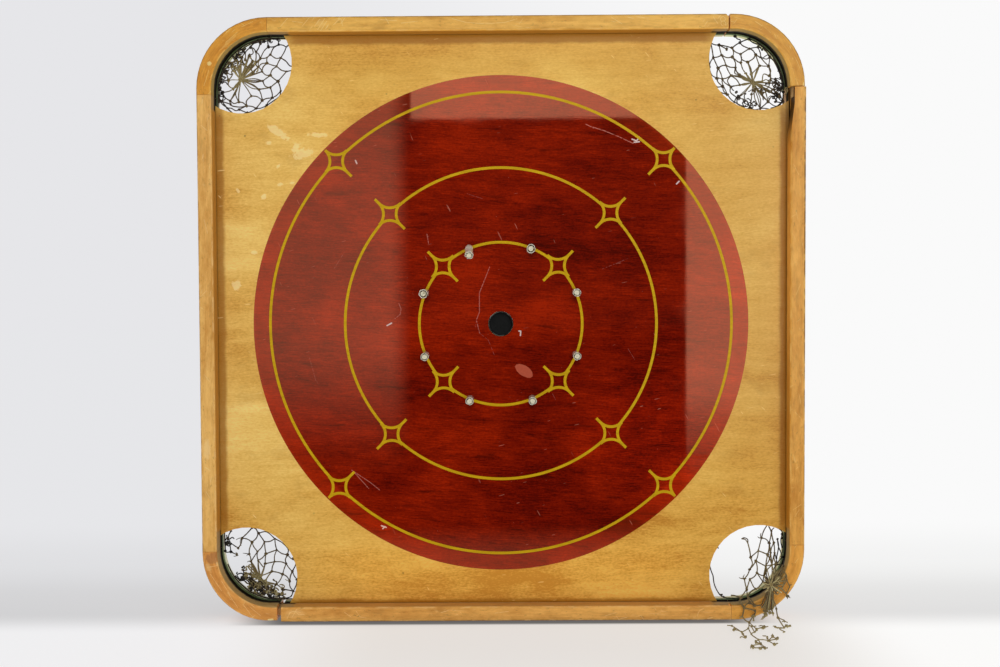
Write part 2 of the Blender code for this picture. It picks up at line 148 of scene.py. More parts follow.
# ================================================================ node helpers
class Tree:
    """A small way to write node trees as expressions. Every method returns a socket."""

    def __init__(self, name):
        self.m = bpy.data.materials.new(name)
        self.m.use_nodes = True
        self.nt = self.m.node_tree
        self.nt.nodes.clear()
        self.out = self.nt.nodes.new("ShaderNodeOutputMaterial")
        self._obj = None

    def put(self, sock, value):
        if isinstance(value, bpy.types.NodeSocket):
            self.nt.links.new(value, sock)
        elif isinstance(value, (tuple, list)):
            n = len(sock.default_value)
            v = list(value)[:n]
            if len(v) < n:
                v += [1.0] * (n - len(v))
            sock.default_value = v
        else:
            sock.default_value = value

    def node(self, kind, **props):
        n = self.nt.nodes.new(kind)
        for k, v in props.items():
            setattr(n, k, v)
        return n

    def here(self):
        """Object coordinates: the place in the board's own frame, in metres."""
        if self._obj is None:
            self._obj = self.node("ShaderNodeTexCoord").outputs["Object"]
        return self._obj

    def xyz(self, v):
        n = self.node("ShaderNodeSeparateXYZ")
        self.put(n.inputs[0], v)
        return n.outputs[0], n.outputs[1], n.outputs[2]

    def vec(self, x, y, z):
        n = self.node("ShaderNodeCombineXYZ")
        for s, v in zip(n.inputs, (x, y, z)):
            self.put(s, v)
        return n.outputs[0]

    def f(self, op, a, b=None, c=None, clamp=False):
        n = self.node("ShaderNodeMath", operation=op, use_clamp=clamp)
        for s, v in zip(n.inputs, (a, b, c)):
            if v is not None:
                self.put(s, v)
        return n.outputs[0]

    def add(self, a, b):
        return self.f("ADD", a, b)

    def sub(self, a, b):
        return self.f("SUBTRACT", a, b)

    def mul(self, a, b):
        return self.f("MULTIPLY", a, b)

    def noise(self, v, scale=1.0, detail=2.0, rough=0.5, warp=0.0):
        n = self.node("ShaderNodeTexNoise")
        self.put(n.inputs["Vector"], v)
        n.inputs["Scale"].default_value = scale
        n.inputs["Detail"].default_value = detail
        n.inputs["Roughness"].default_value = rough
        n.inputs["Distortion"].default_value = warp
        return n.outputs["Fac"]

    def cells(self, v, scale=1.0, feature="F1", jitter=1.0):
        n = self.node("ShaderNodeTexVoronoi", feature=feature)
        self.put(n.inputs["Vector"], v)
        n.inputs["Scale"].default_value = scale
        n.inputs["Randomness"].default_value = jitter
        return n.outputs["Distance"]

    def step(self, x, lo, hi, a=0.0, b=1.0):
        """Smooth step of x from lo to hi, giving a to b."""
        n = self.node("ShaderNodeMapRange", interpolation_type="SMOOTHSTEP")
        for s, v in zip(n.inputs, (x, lo, hi, a, b)):
            self.put(s, v)
        return n.outputs[0]

    def line(self, x, lo, hi, a=0.0, b=1.0):
        n = self.node("ShaderNodeMapRange", clamp=True)
        for s, v in zip(n.inputs, (x, lo, hi, a, b)):
            self.put(s, v)
        return n.outputs[0]

    def mix(self, k, a, b, blend="MIX"):
        n = self.node("ShaderNodeMix", data_type="RGBA", blend_type=blend)
        self.put(n.inputs[0], k)
        self.put(n.inputs[6], a)
        self.put(n.inputs[7], b)
        return n.outputs[2]

    def ramp(self, k, stops):
        n = self.node("ShaderNodeValToRGB")
        self.put(n.inputs[0], k)
        e = n.color_ramp.elements
        while len(e) < len(stops):
            e.new(0.5)
        for el, (p, c) in zip(e, stops):
            el.position = p
            el.color = (*c[:3], 1)
        return n.outputs[0]

    def bump(self, height, strength=0.5, distance=0.001, normal=None):
        n = self.node("ShaderNodeBump")
        n.inputs["Strength"].default_value = strength
        n.inputs["Distance"].default_value = distance
        self.put(n.inputs["Height"], height)
        if normal is not None:
            self.put(n.inputs["Normal"], normal)
        return n.outputs[0]

    def segment(self, x, z, x1, z1, x2, z2):
        """Distance from (x, z) to a short line."""
        dx, dz = x2 - x1, z2 - z1
        px, pz = self.sub(x, x1), self.sub(z, z1)
        t = self.f("DIVIDE", self.add(self.mul(px, dx), self.mul(pz, dz)), dx * dx + dz * dz + 1e-12, clamp=True)
        ex, ez = self.sub(px, self.mul(t, dx)), self.sub(pz, self.mul(t, dz))
        return self.f("SQRT", self.add(self.mul(ex, ex), self.mul(ez, ez)))

    def strokes(self, x, z, lines, width, soft=0.6):
        """1 on the given lines (lists of x, z points), 0 elsewhere."""
        best = None
        for pts in lines:
            for (x1, z1), (x2, z2) in zip(pts, pts[1:]):
                d = self.segment(x, z, x1, z1, x2, z2)
                best = d if best is None else self.f("MINIMUM", best, d)
        return self.step(best, width, width * soft)

    def spot(self, x, z, cx, cz, rx, rz, tilt=0.0):
        """Distance from the middle of an oval, 1 at its edge."""
        c, s = cos(tilt), sin(tilt)
        px, pz = self.sub(x, cx), self.sub(z, cz)
        u = self.mul(self.add(self.mul(px, c), self.mul(pz, s)), 1 / rx)
        v = self.mul(self.sub(self.mul(pz, c), self.mul(px, s)), 1 / rz)
        return self.f("SQRT", self.add(self.mul(u, u), self.mul(v, v)))

    def shader(self, **values):
        n = self.node("ShaderNodeBsdfPrincipled")
        for k, v in values.items():
            self.put(n.inputs[k.replace("_", " ")], v)
        self.nt.links.new(n.outputs[0], self.out.inputs[0])
        return n

    def both(self, a, b):
        """The larger of two masks."""
        return self.f("MAXIMUM", a, b)


def ride(ob, body="root", hides=()):
    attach(ob, body)
    if hides:
        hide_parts(*hides)
    return ob


def new_object(name, mesh, mat=None, smooth=40):
    ob = bpy.data.objects.new(name, mesh)
    scene.collection.objects.link(ob)
    if smooth:
        mesh.shade_smooth()
        if smooth < 180:
            mesh.set_sharp_from_angle(angle=radians(smooth))
    if mat:
        mesh.materials.append(mat)
    return ob


# ====================================================================== floor
def floor_material():
    """White paper, whose colour fades into the bright backdrop behind the board."""
    t = Tree("floor_paper")
    x, y, z = t.xyz(t.here())
    ax = t.f("ABSOLUTE", x)
    # the narrow shadow along the foot of the board, and the broad one in front of it
    foot = t.mul(t.mul(t.step(y, -0.0330, -0.0235), t.step(y, 0.10, 0.02)), t.step(ax, 0.335, 0.255))
    broad = t.mul(t.mul(t.step(x, 0.47, 0.27), t.step(x, -0.34, -0.12)), t.step(y, -0.60, -0.10))
    p = t.node("ShaderNodeBsdfPrincipled")
    t.put(p.inputs["Base Color"], t.mix(t.mul(foot, 0.80), lin(236, 233, 230), lin(20, 18, 15)))
    p.inputs["Roughness"].default_value = 0.6
    p.inputs["Specular IOR Level"].default_value = 0.2
    grain = t.noise(t.vec(x, y, 0.0), 900, 2, 0.6)
    t.put(p.inputs["Normal"], t.bump(grain, 0.05, 0.0003))
    glow = t.node("ShaderNodeEmission")
    side = t.step(t.mul(x, 1 / 1.63), -0.26, 0.26)
    col = t.mix(side, lin(230, 230.3, 233), lin(250, 250, 250))
    fold = t.mul(t.step(y, 0.02, 0.16), t.step(y, 0.62, 0.24))
    col = t.mix(t.mul(fold, 0.55), col, t.mix(side, lin(217, 217, 219), lin(236, 236, 235)))
    near = t.mix(side, (1.05, 1.05, 1.07), (1.18, 1.18, 1.17))
    near = t.mix(broad, near, (0.93, 0.90, 0.86))
    col = t.mix(t.step(y, 0.03, -0.06), col, near)
    col = t.mix(t.mul(foot, 0.80), col, (0.006, 0.005, 0.004))
    t.put(glow.inputs["Color"], col)
    k = t.add(0.60, t.step(y, -0.02, 0.30, 0.0, 0.40))
    k = t.add(k, t.step(y, 0.02, -0.06, 0.0, 0.12))
    mix = t.node("ShaderNodeMixShader")
    t.put(mix.inputs[0], k)
    t.nt.links.new(p.outputs[0], mix.inputs[1])
    t.nt.links.new(glow.outputs[0], mix.inputs[2])
    # what the lacquer mirrors below the soft boxes: a dark room between two fading pools of light
    dark = t.node("ShaderNodeEmission")
    back = t.sub(1.37, y)
    reach = t.step(y, -1.400, -1.399)
    pool_l = t.mul(t.step(t.add(x, t.mul(back, 0.091)), 0.035, -0.03), t.step(y, -1.10, -1.40, 0.0, 0.06))
    pool_r = t.mul(t.step(t.sub(x, t.mul(back, 0.1563)), -0.02, 0.03), t.step(y, -0.95, -1.40, 0.0, 0.55))
    foot_ = t.step(y, -0.60, -0.29, 0.0, 0.62)
    t.put(dark.inputs["Color"], (1.0, 0.98, 0.96))
    t.put(dark.inputs["Strength"], t.add(0.02, t.mul(reach, t.add(foot_, t.add(pool_l, pool_r)))))
    last = t.node("ShaderNodeMixShader")
    t.nt.links.new(t.node("ShaderNodeLightPath").outputs["Is Glossy Ray"], last.inputs[0])
    t.nt.links.new(mix.outputs[0], last.inputs[1])
    t.nt.links.new(dark.outputs[0], last.inputs[2])
    t.nt.links.new(last.outputs[0], t.out.inputs[0])
    return t.m


bm = bmesh.new()
bmesh.ops.create_grid(bm, x_segments=8, y_segments=8, size=14)
mesh = bpy.data.meshes.new("floor")
bm.to_mesh(mesh)
bm.free()
floor = new_object("floor", mesh, floor_material(), 0)
floor.location = (0, 0, -0.0016)

world = bpy.data.worlds.new("studio")
scene.world = world
world.use_nodes = True
nt = world.node_tree
nt.nodes.clear()
wout = nt.nodes.new("ShaderNodeOutputWorld")
path = nt.nodes.new("ShaderNodeLightPath")


def background(colour, strength):
    n = nt.nodes.new("ShaderNodeBackground")
    n.inputs[0].default_value = (*colour, 1)
    n.inputs[1].default_value = strength
    return n


seen, fill, sheen = background((1, 1, 1), 1.0), background((0.97, 0.98, 1.0), 0.40), background((0.95, 0.97, 1), 0.05)
way = nt.nodes.new("ShaderNodeTexCoord")
part = nt.nodes.new("ShaderNodeSeparateXYZ")
nt.links.new(way.outputs["Generated"], part.inputs[0])
sweep = nt.nodes.new("ShaderNodeMapRange")
sweep.interpolation_type = "SMOOTHSTEP"
sweep.inputs["From Min"].default_value, sweep.inputs["From Max"].default_value = -0.26, 0.26
nt.links.new(part.outputs[0], sweep.inputs["Value"])
shade_mix = nt.nodes.new("ShaderNodeMix")
shade_mix.data_type = "RGBA"
shade_mix.inputs[6].default_value = (*lin(230, 230, 233), 1)
shade_mix.inputs[7].default_value = (*lin(250, 250, 250), 1)
nt.links.new(sweep.outputs[0], shade_mix.inputs[0])
nt.links.new(shade_mix.outputs[2], seen.inputs[0])
mix1, mix2 = nt.nodes.new("ShaderNodeMixShader"), nt.nodes.new("ShaderNodeMixShader")
nt.links.new(path.outputs["Is Glossy Ray"], mix1.inputs[0])
nt.links.new(fill.outputs[0], mix1.inputs[1])
nt.links.new(sheen.outputs[0], mix1.inputs[2])
nt.links.new(path.outputs["Is Camera Ray"], mix2.inputs[0])
nt.links.new(mix1.outputs[0], mix2.inputs[1])
nt.links.new(seen.outputs[0], mix2.inputs[2])
nt.links.new(mix2.outputs[0], wout.inputs[0])


# ================================================================== materials
PANEL_GAIN = (1.53, 1.60, 1.27)


def rail_material(name, kind, light, dark, seed, gain, upward_face_light=0.0, gap=False, cut=0.40, cuts_at=(), spots_at=()):
    """Varnished rail wood. kind is x, z or c for a corner; the grain follows the rail.
    cuts_at are single scratches and spots_at pale bruises, in the board's plane."""
    t = Tree(name)
    x, y, zw = t.xyz(t.here())
    z = t.sub(zw, HALF)
    ax, az = t.f("ABSOLUTE", x), t.f("ABSOLUTE", z)
    if kind == "x":
        along, u = x, t.sub(az, INNER)
    elif kind == "z":
        along, u = z, t.sub(ax, INNER)
    else:
        dx, dz = t.sub(ax, A), t.sub(az, A)
        px, pz = t.f("MAXIMUM", dx, 0.0), t.f("MAXIMUM", dz, 0.0)
        r = t.f("SQRT", t.add(t.mul(px, px), t.mul(pz, pz)))
        u = t.sub(r, CORNER_R - RAIL_W)
        arc = t.mul(t.f("ARCTAN2", px, pz), CORNER_R - RAIL_W / 2)
        # the short straight lengths go on in line with the bend
        run = t.sub(t.f("MINIMUM", dz, 0.0), t.f("MINIMUM", dx, 0.0))
        along = t.add(arc, t.mul(run, -1.0))
    s = float(seed)
    bend = t.mul(t.sub(t.noise(t.vec(t.mul(along, 9), t.mul(u, 30), t.add(t.mul(y, 20), s)), 1, 2, 0.5), 0.5), 0.012)
    uu = t.add(u, bend)
    fine = t.noise(t.vec(t.mul(along, 46), t.mul(uu, 1300), t.add(t.mul(y, 900), s)), 1, 3, 0.6)
    band = t.noise(t.vec(t.mul(along, 8), t.mul(uu, 260), t.add(t.mul(y, 120), s)), 1, 4, 0.6, 0.4)
    tone = t.noise(t.vec(t.mul(along, 6), t.mul(uu, 40), t.add(t.mul(y, 14), s)), 1, 2, 0.5)
    mottle = t.noise(t.vec(t.mul(along, 70), t.mul(uu, 190), t.add(t.mul(y, 120), s + 5)), 1, 4, 0.65)
    flecks = t.noise(t.vec(t.mul(along, 190), t.mul(uu, 420), t.add(t.mul(y, 400), s)), 1, 2, 0.5)
    k = t.add(t.add(t.mul(t.sub(band, 0.5), 0.7), t.mul(t.sub(tone, 0.5), 0.9)),
              t.add(t.mul(t.sub(fine, 0.5), 0.5), t.mul(t.sub(mottle, 0.5), 1.0)))
    col = t.mix(t.line(k, -0.26, 0.30), light, dark)
    col = t.mix(t.step(flecks, 0.62, 0.78, 0.0, 0.50), col, times(dark, 0.50))
    grey = t.noise(t.vec(t.mul(along, 26), t.mul(u, 90), t.add(t.mul(y, 60), s + 3)), 1, 4, 0.6)
    col = t.mix(t.step(grey, 0.52, 0.72, 0.0, 0.42), col, times(dark, 0.66))

    # wear on the four long edges, and a dark line of grime just inside the outer one
    edge = None
    for eu in (0.0009, RAIL_W - 0.0009):
        for ev in (-RAIL_D / 2 + 0.0009, RAIL_D / 2 - 0.0009):
            du, dv = t.sub(u, eu), t.sub(y, ev)
            d = t.f("SQRT", t.add(t.mul(du, du), t.mul(dv, dv)))
            edge = d if edge is None else t.f("MINIMUM", edge, d)
    ragged = t.noise(t.vec(t.mul(along, 60), t.mul(u, 160), t.add(t.mul(y, 160), s)), 1, 4, 0.7)
    wear = t.mul(t.step(edge, 0.0022, 0.0004), t.step(ragged, 0.44, 0.62))
    col = t.mix(t.mul(wear, 0.55), col, lin(226, 190, 136))
    grime_and_shadow = t.mul(t.mul(t.step(u, RAIL_W - 0.0016, RAIL_W - 0.0004), t.step(y, -0.0196, -0.0204)), t.step(ragged, 0.66, 0.44))
    col = t.mix(t.mul(grime_and_shadow, 0.80), col, lin(66, 46, 26))
    # scratches in two directions, rubbed patches and small pale dents
    p1 = t.noise(t.vec(t.add(t.mul(along, 130), t.mul(u, 560)), t.add(t.mul(u, 120), t.mul(along, -30)), t.add(t.mul(y, 60), s)), 1, 1, 0.4)
    p2 = t.noise(t.vec(t.add(t.mul(along, 440), t.mul(u, -330)), t.add(t.mul(u, 46), t.mul(along, 34)), t.add(t.mul(y, 50), s + 7)), 1, 1, 0.4)
    p3 = t.noise(t.vec(t.add(t.mul(along, 60), t.mul(u, -700)), t.add(t.mul(u, 60), t.mul(along, 16)), t.add(t.mul(y, 50), s + 17)), 1, 1, 0.4)
    where = t.step(t.noise(t.vec(t.mul(along, 14), t.mul(u, 26), s), 1, 2, 0.5), 0.46, 0.62)
    cuts = t.both(t.both(t.step(p1, 0.70, 0.745), t.step(p2, 0.71, 0.755)), t.step(p3, 0.72, 0.76))
    cuts = t.mul(cuts, where)
    if cuts_at:
        own = t.strokes(x, z, cuts_at, 0.00040, 0.5)
        gaps = t.noise(t.vec(t.mul(x, 260), 0.0, t.mul(z, 260)), 1, 2, 0.6)
        cuts = t.both(cuts, t.mul(own, t.step(gaps, 0.30, 0.50, 0.25, 1.0)))
    front = t.step(y, -0.0170, -0.0196)
    col = t.mix(t.mul(cuts, cut), col, lin(234, 212, 168))
    rubbed = t.mul(t.step(t.noise(t.vec(t.mul(along, 85), t.mul(u, 120), s + 11), 1, 5, 0.75), 0.58, 0.70), where)
    col = t.mix(t.mul(rubbed, 0.42), col, lin(226, 196, 144))
    for cx, cz, rx, rz, tilt, strength, tint in spots_at:
        d = t.spot(x, z, cx, cz, rx, rz, tilt)
        rag = t.noise(t.vec(t.mul(x, 300), t.mul(y, 300), t.mul(z, 300)), 1, 3, 0.6)
        m = t.step(t.add(d, t.mul(t.sub(rag, 0.5), 1.3)), 1.15, 0.75)
        col = t.mix(t.mul(m, strength), col, tint)

    # the inner face: brown varnish in front of the panel, darkened with painted shade, bare wood round the pockets,
    # a black band of painted shade at the groove, a green stain behind it, and a pale painted reflection of the
    # backdrop at the back
    inward = t.step(u, 0.0009, 0.0001)
    reach = t.f("MINIMUM", ax, az)
    pocket = t.step(reach, 0.2465, 0.2505)
    inner = t.mix(mottle, lin(150, 100, 30), lin(168, 118, 48))
    # painted light: the bottom rail's inner face, which looks up, is made paler
    if upward_face_light:
        inner = t.mix(upward_face_light, inner, t.mix(mottle, lin(178, 142, 96), lin(150, 112, 66)))
    col = t.mix(t.mul(inward, 0.85), col, inner)
    streak = t.noise(t.vec(t.mul(along, 30), t.mul(y, 900), s), 1, 3, 0.6)
    smudge = t.noise(t.vec(t.mul(along, 70), t.mul(y, 160), s + 4), 1, 3, 0.6)
    bare = t.mix(t.add(t.mul(streak, 0.6), t.mul(smudge, 0.4)), lin(104, 82, 48), lin(186, 152, 108))
    stain = t.mix(streak, lin(34, 44, 22), lin(112, 136, 92))
    shade_offset = t.step(zw, HALF - 0.05, HALF + 0.05, 0.0026, 0.0)         # the painted shade starts deeper in the lower corners
    # painted shade: a black band on the pocket wall at the groove
    band_col = t.mix(t.step(t.add(t.sub(y, shade_offset), t.mul(t.sub(smudge, 0.5), 0.006)), -0.0116, -0.0076), bare, lin(12, 11, 9))
    band_col = t.mix(t.step(t.add(y, t.mul(t.sub(smudge, 0.5), 0.003)), 0.0008, 0.0034), band_col, stain)
    # painted reflection: the back of the pocket wall made pale by the bright backdrop
    band_col = t.mix(t.step(t.add(y, t.mul(t.sub(smudge, 0.5), 0.008)), 0.0085, 0.0125), band_col, t.mix(streak, lin(206, 204, 192), lin(226, 226, 220)))
    col = t.mix(t.mul(inward, pocket), col, band_col)
    if gap:                                       # the sprung end stands off the panel and is dark inside
        facing = t.xyz(t.node("ShaderNodeNewGeometry").outputs["Normal"])[0]
        # painted shade on the sprung end's face inside the gap
        gap_shade = t.mul(t.mul(t.step(facing, -0.55, -0.85), t.step(z, 0.196, 0.240)), t.step(y, 0.0040, 0.0010))
        col = t.mix(t.mul(gap_shade, 0.94), col, lin(34, 18, 8))
    # painted shade inside the groove
    in_groove = t.mul(t.step(u, 0.0050, 0.0044), t.step(t.f("ABSOLUTE", y), 0.0040, 0.0037))
    col = t.mix(in_groove, col, lin(20, 17, 13))

    col = t.mix(1.0, col, gain, "MULTIPLY")
    rough = t.add(0.30, t.add(t.mul(grey, 0.16), t.mul(t.both(wear, cuts), 0.30)))
    rough = t.f("MAXIMUM", rough, t.mul(t.mul(inward, pocket), 0.8))
    h = t.add(t.mul(fine, 0.25), t.mul(band, 0.30))
    t.shader(Base_Color=col, Roughness=rough, Specular_IOR_Level=0.28, Specular_Tint=(1.0, 0.86, 0.62, 1), Coat_Weight=0.08, Coat_Roughness=0.25,
             Normal=t.bump(t.add(h, t.mul(mottle, 0.5)), 0.40, 0.0004))
    return t.m


def veneer(t, x, y, z, slope=0.0):
    """Horizontal rotary-cut grain shared by the panel and the stained field."""
    if slope:
        z = t.add(z, t.mul(x, slope))
    wob = t.noise(t.vec(t.mul(x, 4.2), t.mul(z, 11), 1.7), 1, 3, 0.55)
    zz = t.add(z, t.mul(wob, 0.040))
    broad = t.noise(t.vec(t.mul(x, 2.2), t.mul(zz, 22), 2.0), 1, 3, 0.5)
    strip = t.noise(t.vec(t.mul(x, 9), t.mul(zz, 130), 5.0), 1, 4, 0.62, 0.3)
    fibre = t.noise(t.vec(t.mul(x, 55), t.mul(zz, 950), 8.0), 1, 3, 0.6)
    pore = t.noise(t.vec(t.mul(x, 110), t.mul(zz, 1300), 3.0), 1, 2, 0.5)
    cloud = t.noise(t.vec(t.mul(x, 8), t.mul(z, 11), 0.3), 1, 3, 0.55)
    mid = t.noise(t.vec(t.mul(x, 26), t.mul(zz, 90), 7.0), 1, 4, 0.62, 0.5)
    return broad, strip, fibre, pore, cloud, mid


def panel_material():
    t = Tree("panel_plywood")
    x, y, zw = t.xyz(t.here())
    z = t.sub(zw, HALF)
    broad, strip, fibre, pore, cloud, mid = veneer(t, x, y, z)
    k = t.add(t.add(t.mul(t.sub(broad, 0.5), 0.60), t.mul(t.sub(strip, 0.5), 0.28)),
              t.add(t.mul(t.sub(fibre, 0.5), 0.42), t.mul(t.sub(cloud, 0.5), 0.85)))
    speck = t.noise(t.vec(t.mul(x, 260), t.mul(y, 260), t.mul(z, 560)), 1, 3, 0.6)
    k = t.add(k, t.add(t.mul(t.sub(mid, 0.5), 0.38), t.mul(t.sub(speck, 0.5), 0.62)))
    # redder towards the foot
    k = t.add(k, t.step(z, -0.10, -0.33, 0.0, 0.21))
    col = t.ramp(t.line(k, -0.36, 0.40), [
        (0.0, lin(222, 182, 108)), (0.35, lin(210, 163, 86)), (0.65, lin(198, 146, 68)), (1.0, lin(172, 112, 36))])
    col = t.mix(t.step(pore, 0.62, 0.78, 0.0, 0.20), col, lin(140, 88, 30))
    # smoky patches
    smoke = t.noise(t.vec(t.mul(x, 17), t.mul(z, 30), 4.4), 1, 4, 0.6)
    col = t.mix(t.step(smoke, 0.55, 0.74, 0.0, 0.24), col, lin(150, 96, 30))
    # painted shadow of the rails: a dark band along them, widest below the top rail
    rag = t.noise(t.vec(t.mul(x, 34), t.mul(z, 34), 0.0), 1, 4, 0.65)
    jag = t.mul(t.sub(rag, 0.5), 0.006)
    rail_shadow = None
    for v, width in ((z, 0.0105), (t.mul(z, -1.0), 0.0035), (t.mul(x, -1.0), 0.0085), (x, 0.0070)):
        m = t.step(t.add(v, jag), INNER - width - 0.0030, INNER - width + 0.0022)
        rail_shadow = m if rail_shadow is None else t.both(rail_shadow, m)
    ax, az = t.f("ABSOLUTE", x), t.f("ABSOLUTE", z)
    open_ = t.f("MINIMUM", ax, az)
    rail_shadow = t.mul(rail_shadow, t.step(open_, 0.262, 0.238))
    col = t.mix(t.mul(rail_shadow, 0.74), col, lin(134, 78, 9))
    # painted shade: a dark line where the panel meets the rails
    line = t.step(t.f("MAXIMUM", ax, az), INNER - 0.0016, INNER)
    col = t.mix(t.mul(line, 0.45), col, lin(84, 50, 14))
    # pale bruises in the varnish and a few dark specks
    bruises = None
    for cx, cz, rx, rz, tilt in ((-0.2625, 0.2235, 0.0150, 0.0042, -0.62), (-0.2700, 0.2290, 0.0050, 0.0036, 0.3),
                                 (-0.2340, 0.1985, 0.0130, 0.0052, 0.20), (-0.2420, 0.2060, 0.0060, 0.0040, 0.9),
                                 (-0.2165, 0.2205, 0.0105, 0.0026, 0.0), (-0.2745, 0.2115, 0.0040, 0.0022, 0.2),
                                 (-0.3150, 0.0430, 0.0052, 0.0056, 0.0), (-0.2620, 0.1620, 0.0036, 0.0020, 0.4),
                                 (-0.2810, 0.1480, 0.0046, 0.0026, 0.7), (-0.2930, 0.0820, 0.0036, 0.0024, 0.0),
                                 (-0.3120, 0.1550, 0.0018, 0.0030, 0.4), (-0.2900, 0.2640, 0.0028, 0.0040, 0.2),
                                 (-0.2480, 0.1640, 0.0026, 0.0016, 0.2), (-0.2640, 0.1840, 0.0030, 0.0016, 0.9)):
        d = t.spot(x, z, cx, cz, rx, rz, tilt)
        bruises = d if bruises is None else t.f("MINIMUM", bruises, d)
    edge = t.noise(t.vec(t.mul(x, 190), t.mul(z, 190), 0.0), 1, 4, 0.65)
    bruise = t.mul(t.step(t.add(bruises, t.mul(t.sub(edge, 0.5), 2.6)), 1.15, 0.80), t.step(y, 0.001, -0.001))
    dots = t.cells(t.vec(x, 0.0, z), 62)
    some = t.step(t.noise(t.vec(t.mul(x, 30), t.mul(z, 30), 6.0), 1, 1), 0.52, 0.60)
    dot = t.mul(t.step(dots, 0.055, 0.030), some)
    col = t.mix(t.mul(t.both(bruise, t.mul(dot, 0.7)), 0.46), col, lin(230, 200, 146))
    specks = t.cells(t.vec(x, 0.3, z), 26)
    few = t.step(t.noise(t.vec(t.mul(x, 18), t.mul(z, 18), 1.0), 1, 1), 0.48, 0.54)
    col = t.mix(t.mul(t.mul(t.step(specks, 0.050, 0.018), few), 0.65), col, lin(96, 60, 20))
    # faint scratches, mostly near the red field
    sc = t.noise(t.vec(t.add(t.mul(x, 300), t.mul(z, 260)), t.add(t.mul(z, 40), t.mul(x, -46)), 2.0), 1, 1, 0.3)
    sc2 = t.noise(t.vec(t.add(t.mul(x, 60), t.mul(z, -500)), t.add(t.mul(z, 22), t.mul(x, 50)), 9.0), 1, 1, 0.3)
    scr = t.mul(t.both(t.step(sc, 0.755, 0.79), t.step(sc2, 0.76, 0.79)), t.step(cloud, 0.48, 0.58))
    col = t.mix(t.mul(scr, 0.50), col, lin(232, 202, 142))
    # edge of the panel in the pockets: three plies and dark glue lines
    g = t.node("ShaderNodeNewGeometry")
    nx, ny, nz = t.xyz(g.outputs["Normal"])
    side = t.step(t.f("ABSOLUTE", ny), 0.75, 0.45)
    glue = t.step(t.f("ABSOLUTE", t.sub(t.f("ABSOLUTE", y), 0.0015)), 0.00035, 0.00015)
    ends = t.noise(t.vec(t.mul(x, 500), t.mul(y, 300), t.mul(z, 500)), 1, 3, 0.6)
    ply = t.mix(ends, lin(150, 108, 52), lin(196, 156, 96))
    ply = t.mix(t.mul(glue, 0.8), ply, lin(70, 44, 20))
    col = t.mix(side, col, ply)
    col = t.mix(1.0, col, PANEL_GAIN, "MULTIPLY")
    # painted sheen on the left, where the panel is made paler and bluer; darker to the lower right and at the top
    # middle, lighter at the bottom middle
    col = t.mix(t.step(x, -0.10, -0.32), col, t.mix(1.0, col, (1.0, 1.06, 1.30), "MULTIPLY"))
    col = t.mix(t.mul(t.step(x, 0.08, 0.32), t.step(z, -0.28, -0.05)), col, t.mix(1.0, col, (0.86, 0.845, 0.90), "MULTIPLY"))
    col = t.mix(t.mul(t.step(z, 0.24, 0.30), t.step(t.f("ABSOLUTE", x), 0.26, 0.16)), col, t.mix(1.0, col, (0.92, 0.90, 0.82), "MULTIPLY"))
    col = t.mix(t.mul(t.step(z, -0.24, -0.30), t.step(t.f("ABSOLUTE", x), 0.26, 0.16)), col, t.mix(1.0, col, (1.18, 1.17, 1.13), "MULTIPLY"))
    rough = t.add(0.24, t.add(t.mul(cloud, 0.10), t.mul(t.both(bruise, scr), 0.25)))
    rough = t.both(rough, t.mul(side, 0.8))
    h = t.add(t.mul(fibre, 0.35), t.mul(strip, 0.25))
    t.shader(Base_Color=col, Roughness=rough, Specular_IOR_Level=0.28, Specular_Tint=(1.0, 0.84, 0.58, 1), Coat_Weight=0.05, Coat_Roughness=0.20,
             Normal=t.bump(h, 0.08, 0.0004))
    return t.m


def mm(*pairs):
    """Points given in millimetres from the board's centre."""
    return [(a / 1000, b / 1000) for a, b in pairs]


def field_marks(t, x, z):
    """Scratches and knocks on the red field. Returns pale marks and white chips."""
    pale = t.strokes(x, z, [
        mm((-13.8, 63.0), (-26.3, 32.2), (-26.3, 9.7), (-30.0, 0.2), (-26.3, -15.3)),
        mm((-122, 20.4), (-119.5, 14.0), (-120.5, 7.5), (-126.8, 2.4)),
        mm((-88.0, 102.4), (-86.2, 91.7)), mm((-85.5, 82.0), (-83.5, 76.0)),
        mm((106, 228.5), (122, 223.5), (140, 216.0), (157, 208.0)),
        mm((101, 231), (110, 226.5)),
        mm((-180, -178.2), (-158, -193.0), (-147, -202.0)), mm((-176, -182), (-160, -200))], 0.00062)
    thin = t.strokes(x, z, [
        mm((-26.3, -15.3), (-16.0, -23.7), (-9.0, -41.5)), mm((-30.0, 0.2), (-31.0, -8.0)),
        mm((150, -35), (158, -48)), mm((-40, 150), (-22, 144)), mm((60, -88), (64, -96)),
        mm((120, 60), (150, 72)), mm((-200, 60), (-186, 82)), mm((-230, -40), (-222, -70))], 0.00042)
    chips = t.strokes(x, z, [
        mm((-136.3, -5.8), (-131.0, -2.9)), mm((20.5, -13.2), (22.6, -13.4), (22.2, -18.4)),
        mm((155.5, 213.0), (161.0, 211.0), (164.0, 215.5)), mm((158.0, 209.5), (164.0, 210.0)),
        mm((-145.0, -245.0), (-139.5, -247.0)), mm((-143.5, -248.5), (-141.0, -246.0)),
        mm((208, 160), (211, 163)), mm((-172.0, 190.0), (-170.5, 186.5))], 0.00095, 0.7)
    oval = t.spot(x, z, 0.0264, -0.0605, 0.0118, 0.0062, -0.62)
    wob = t.noise(t.vec(t.mul(x, 160), t.mul(z, 160), 0.0), 1, 2, 0.5)
    oval = t.step(t.add(oval, t.mul(wob, 0.35)), 1.22, 1.12)
    return pale, thin, chips, oval


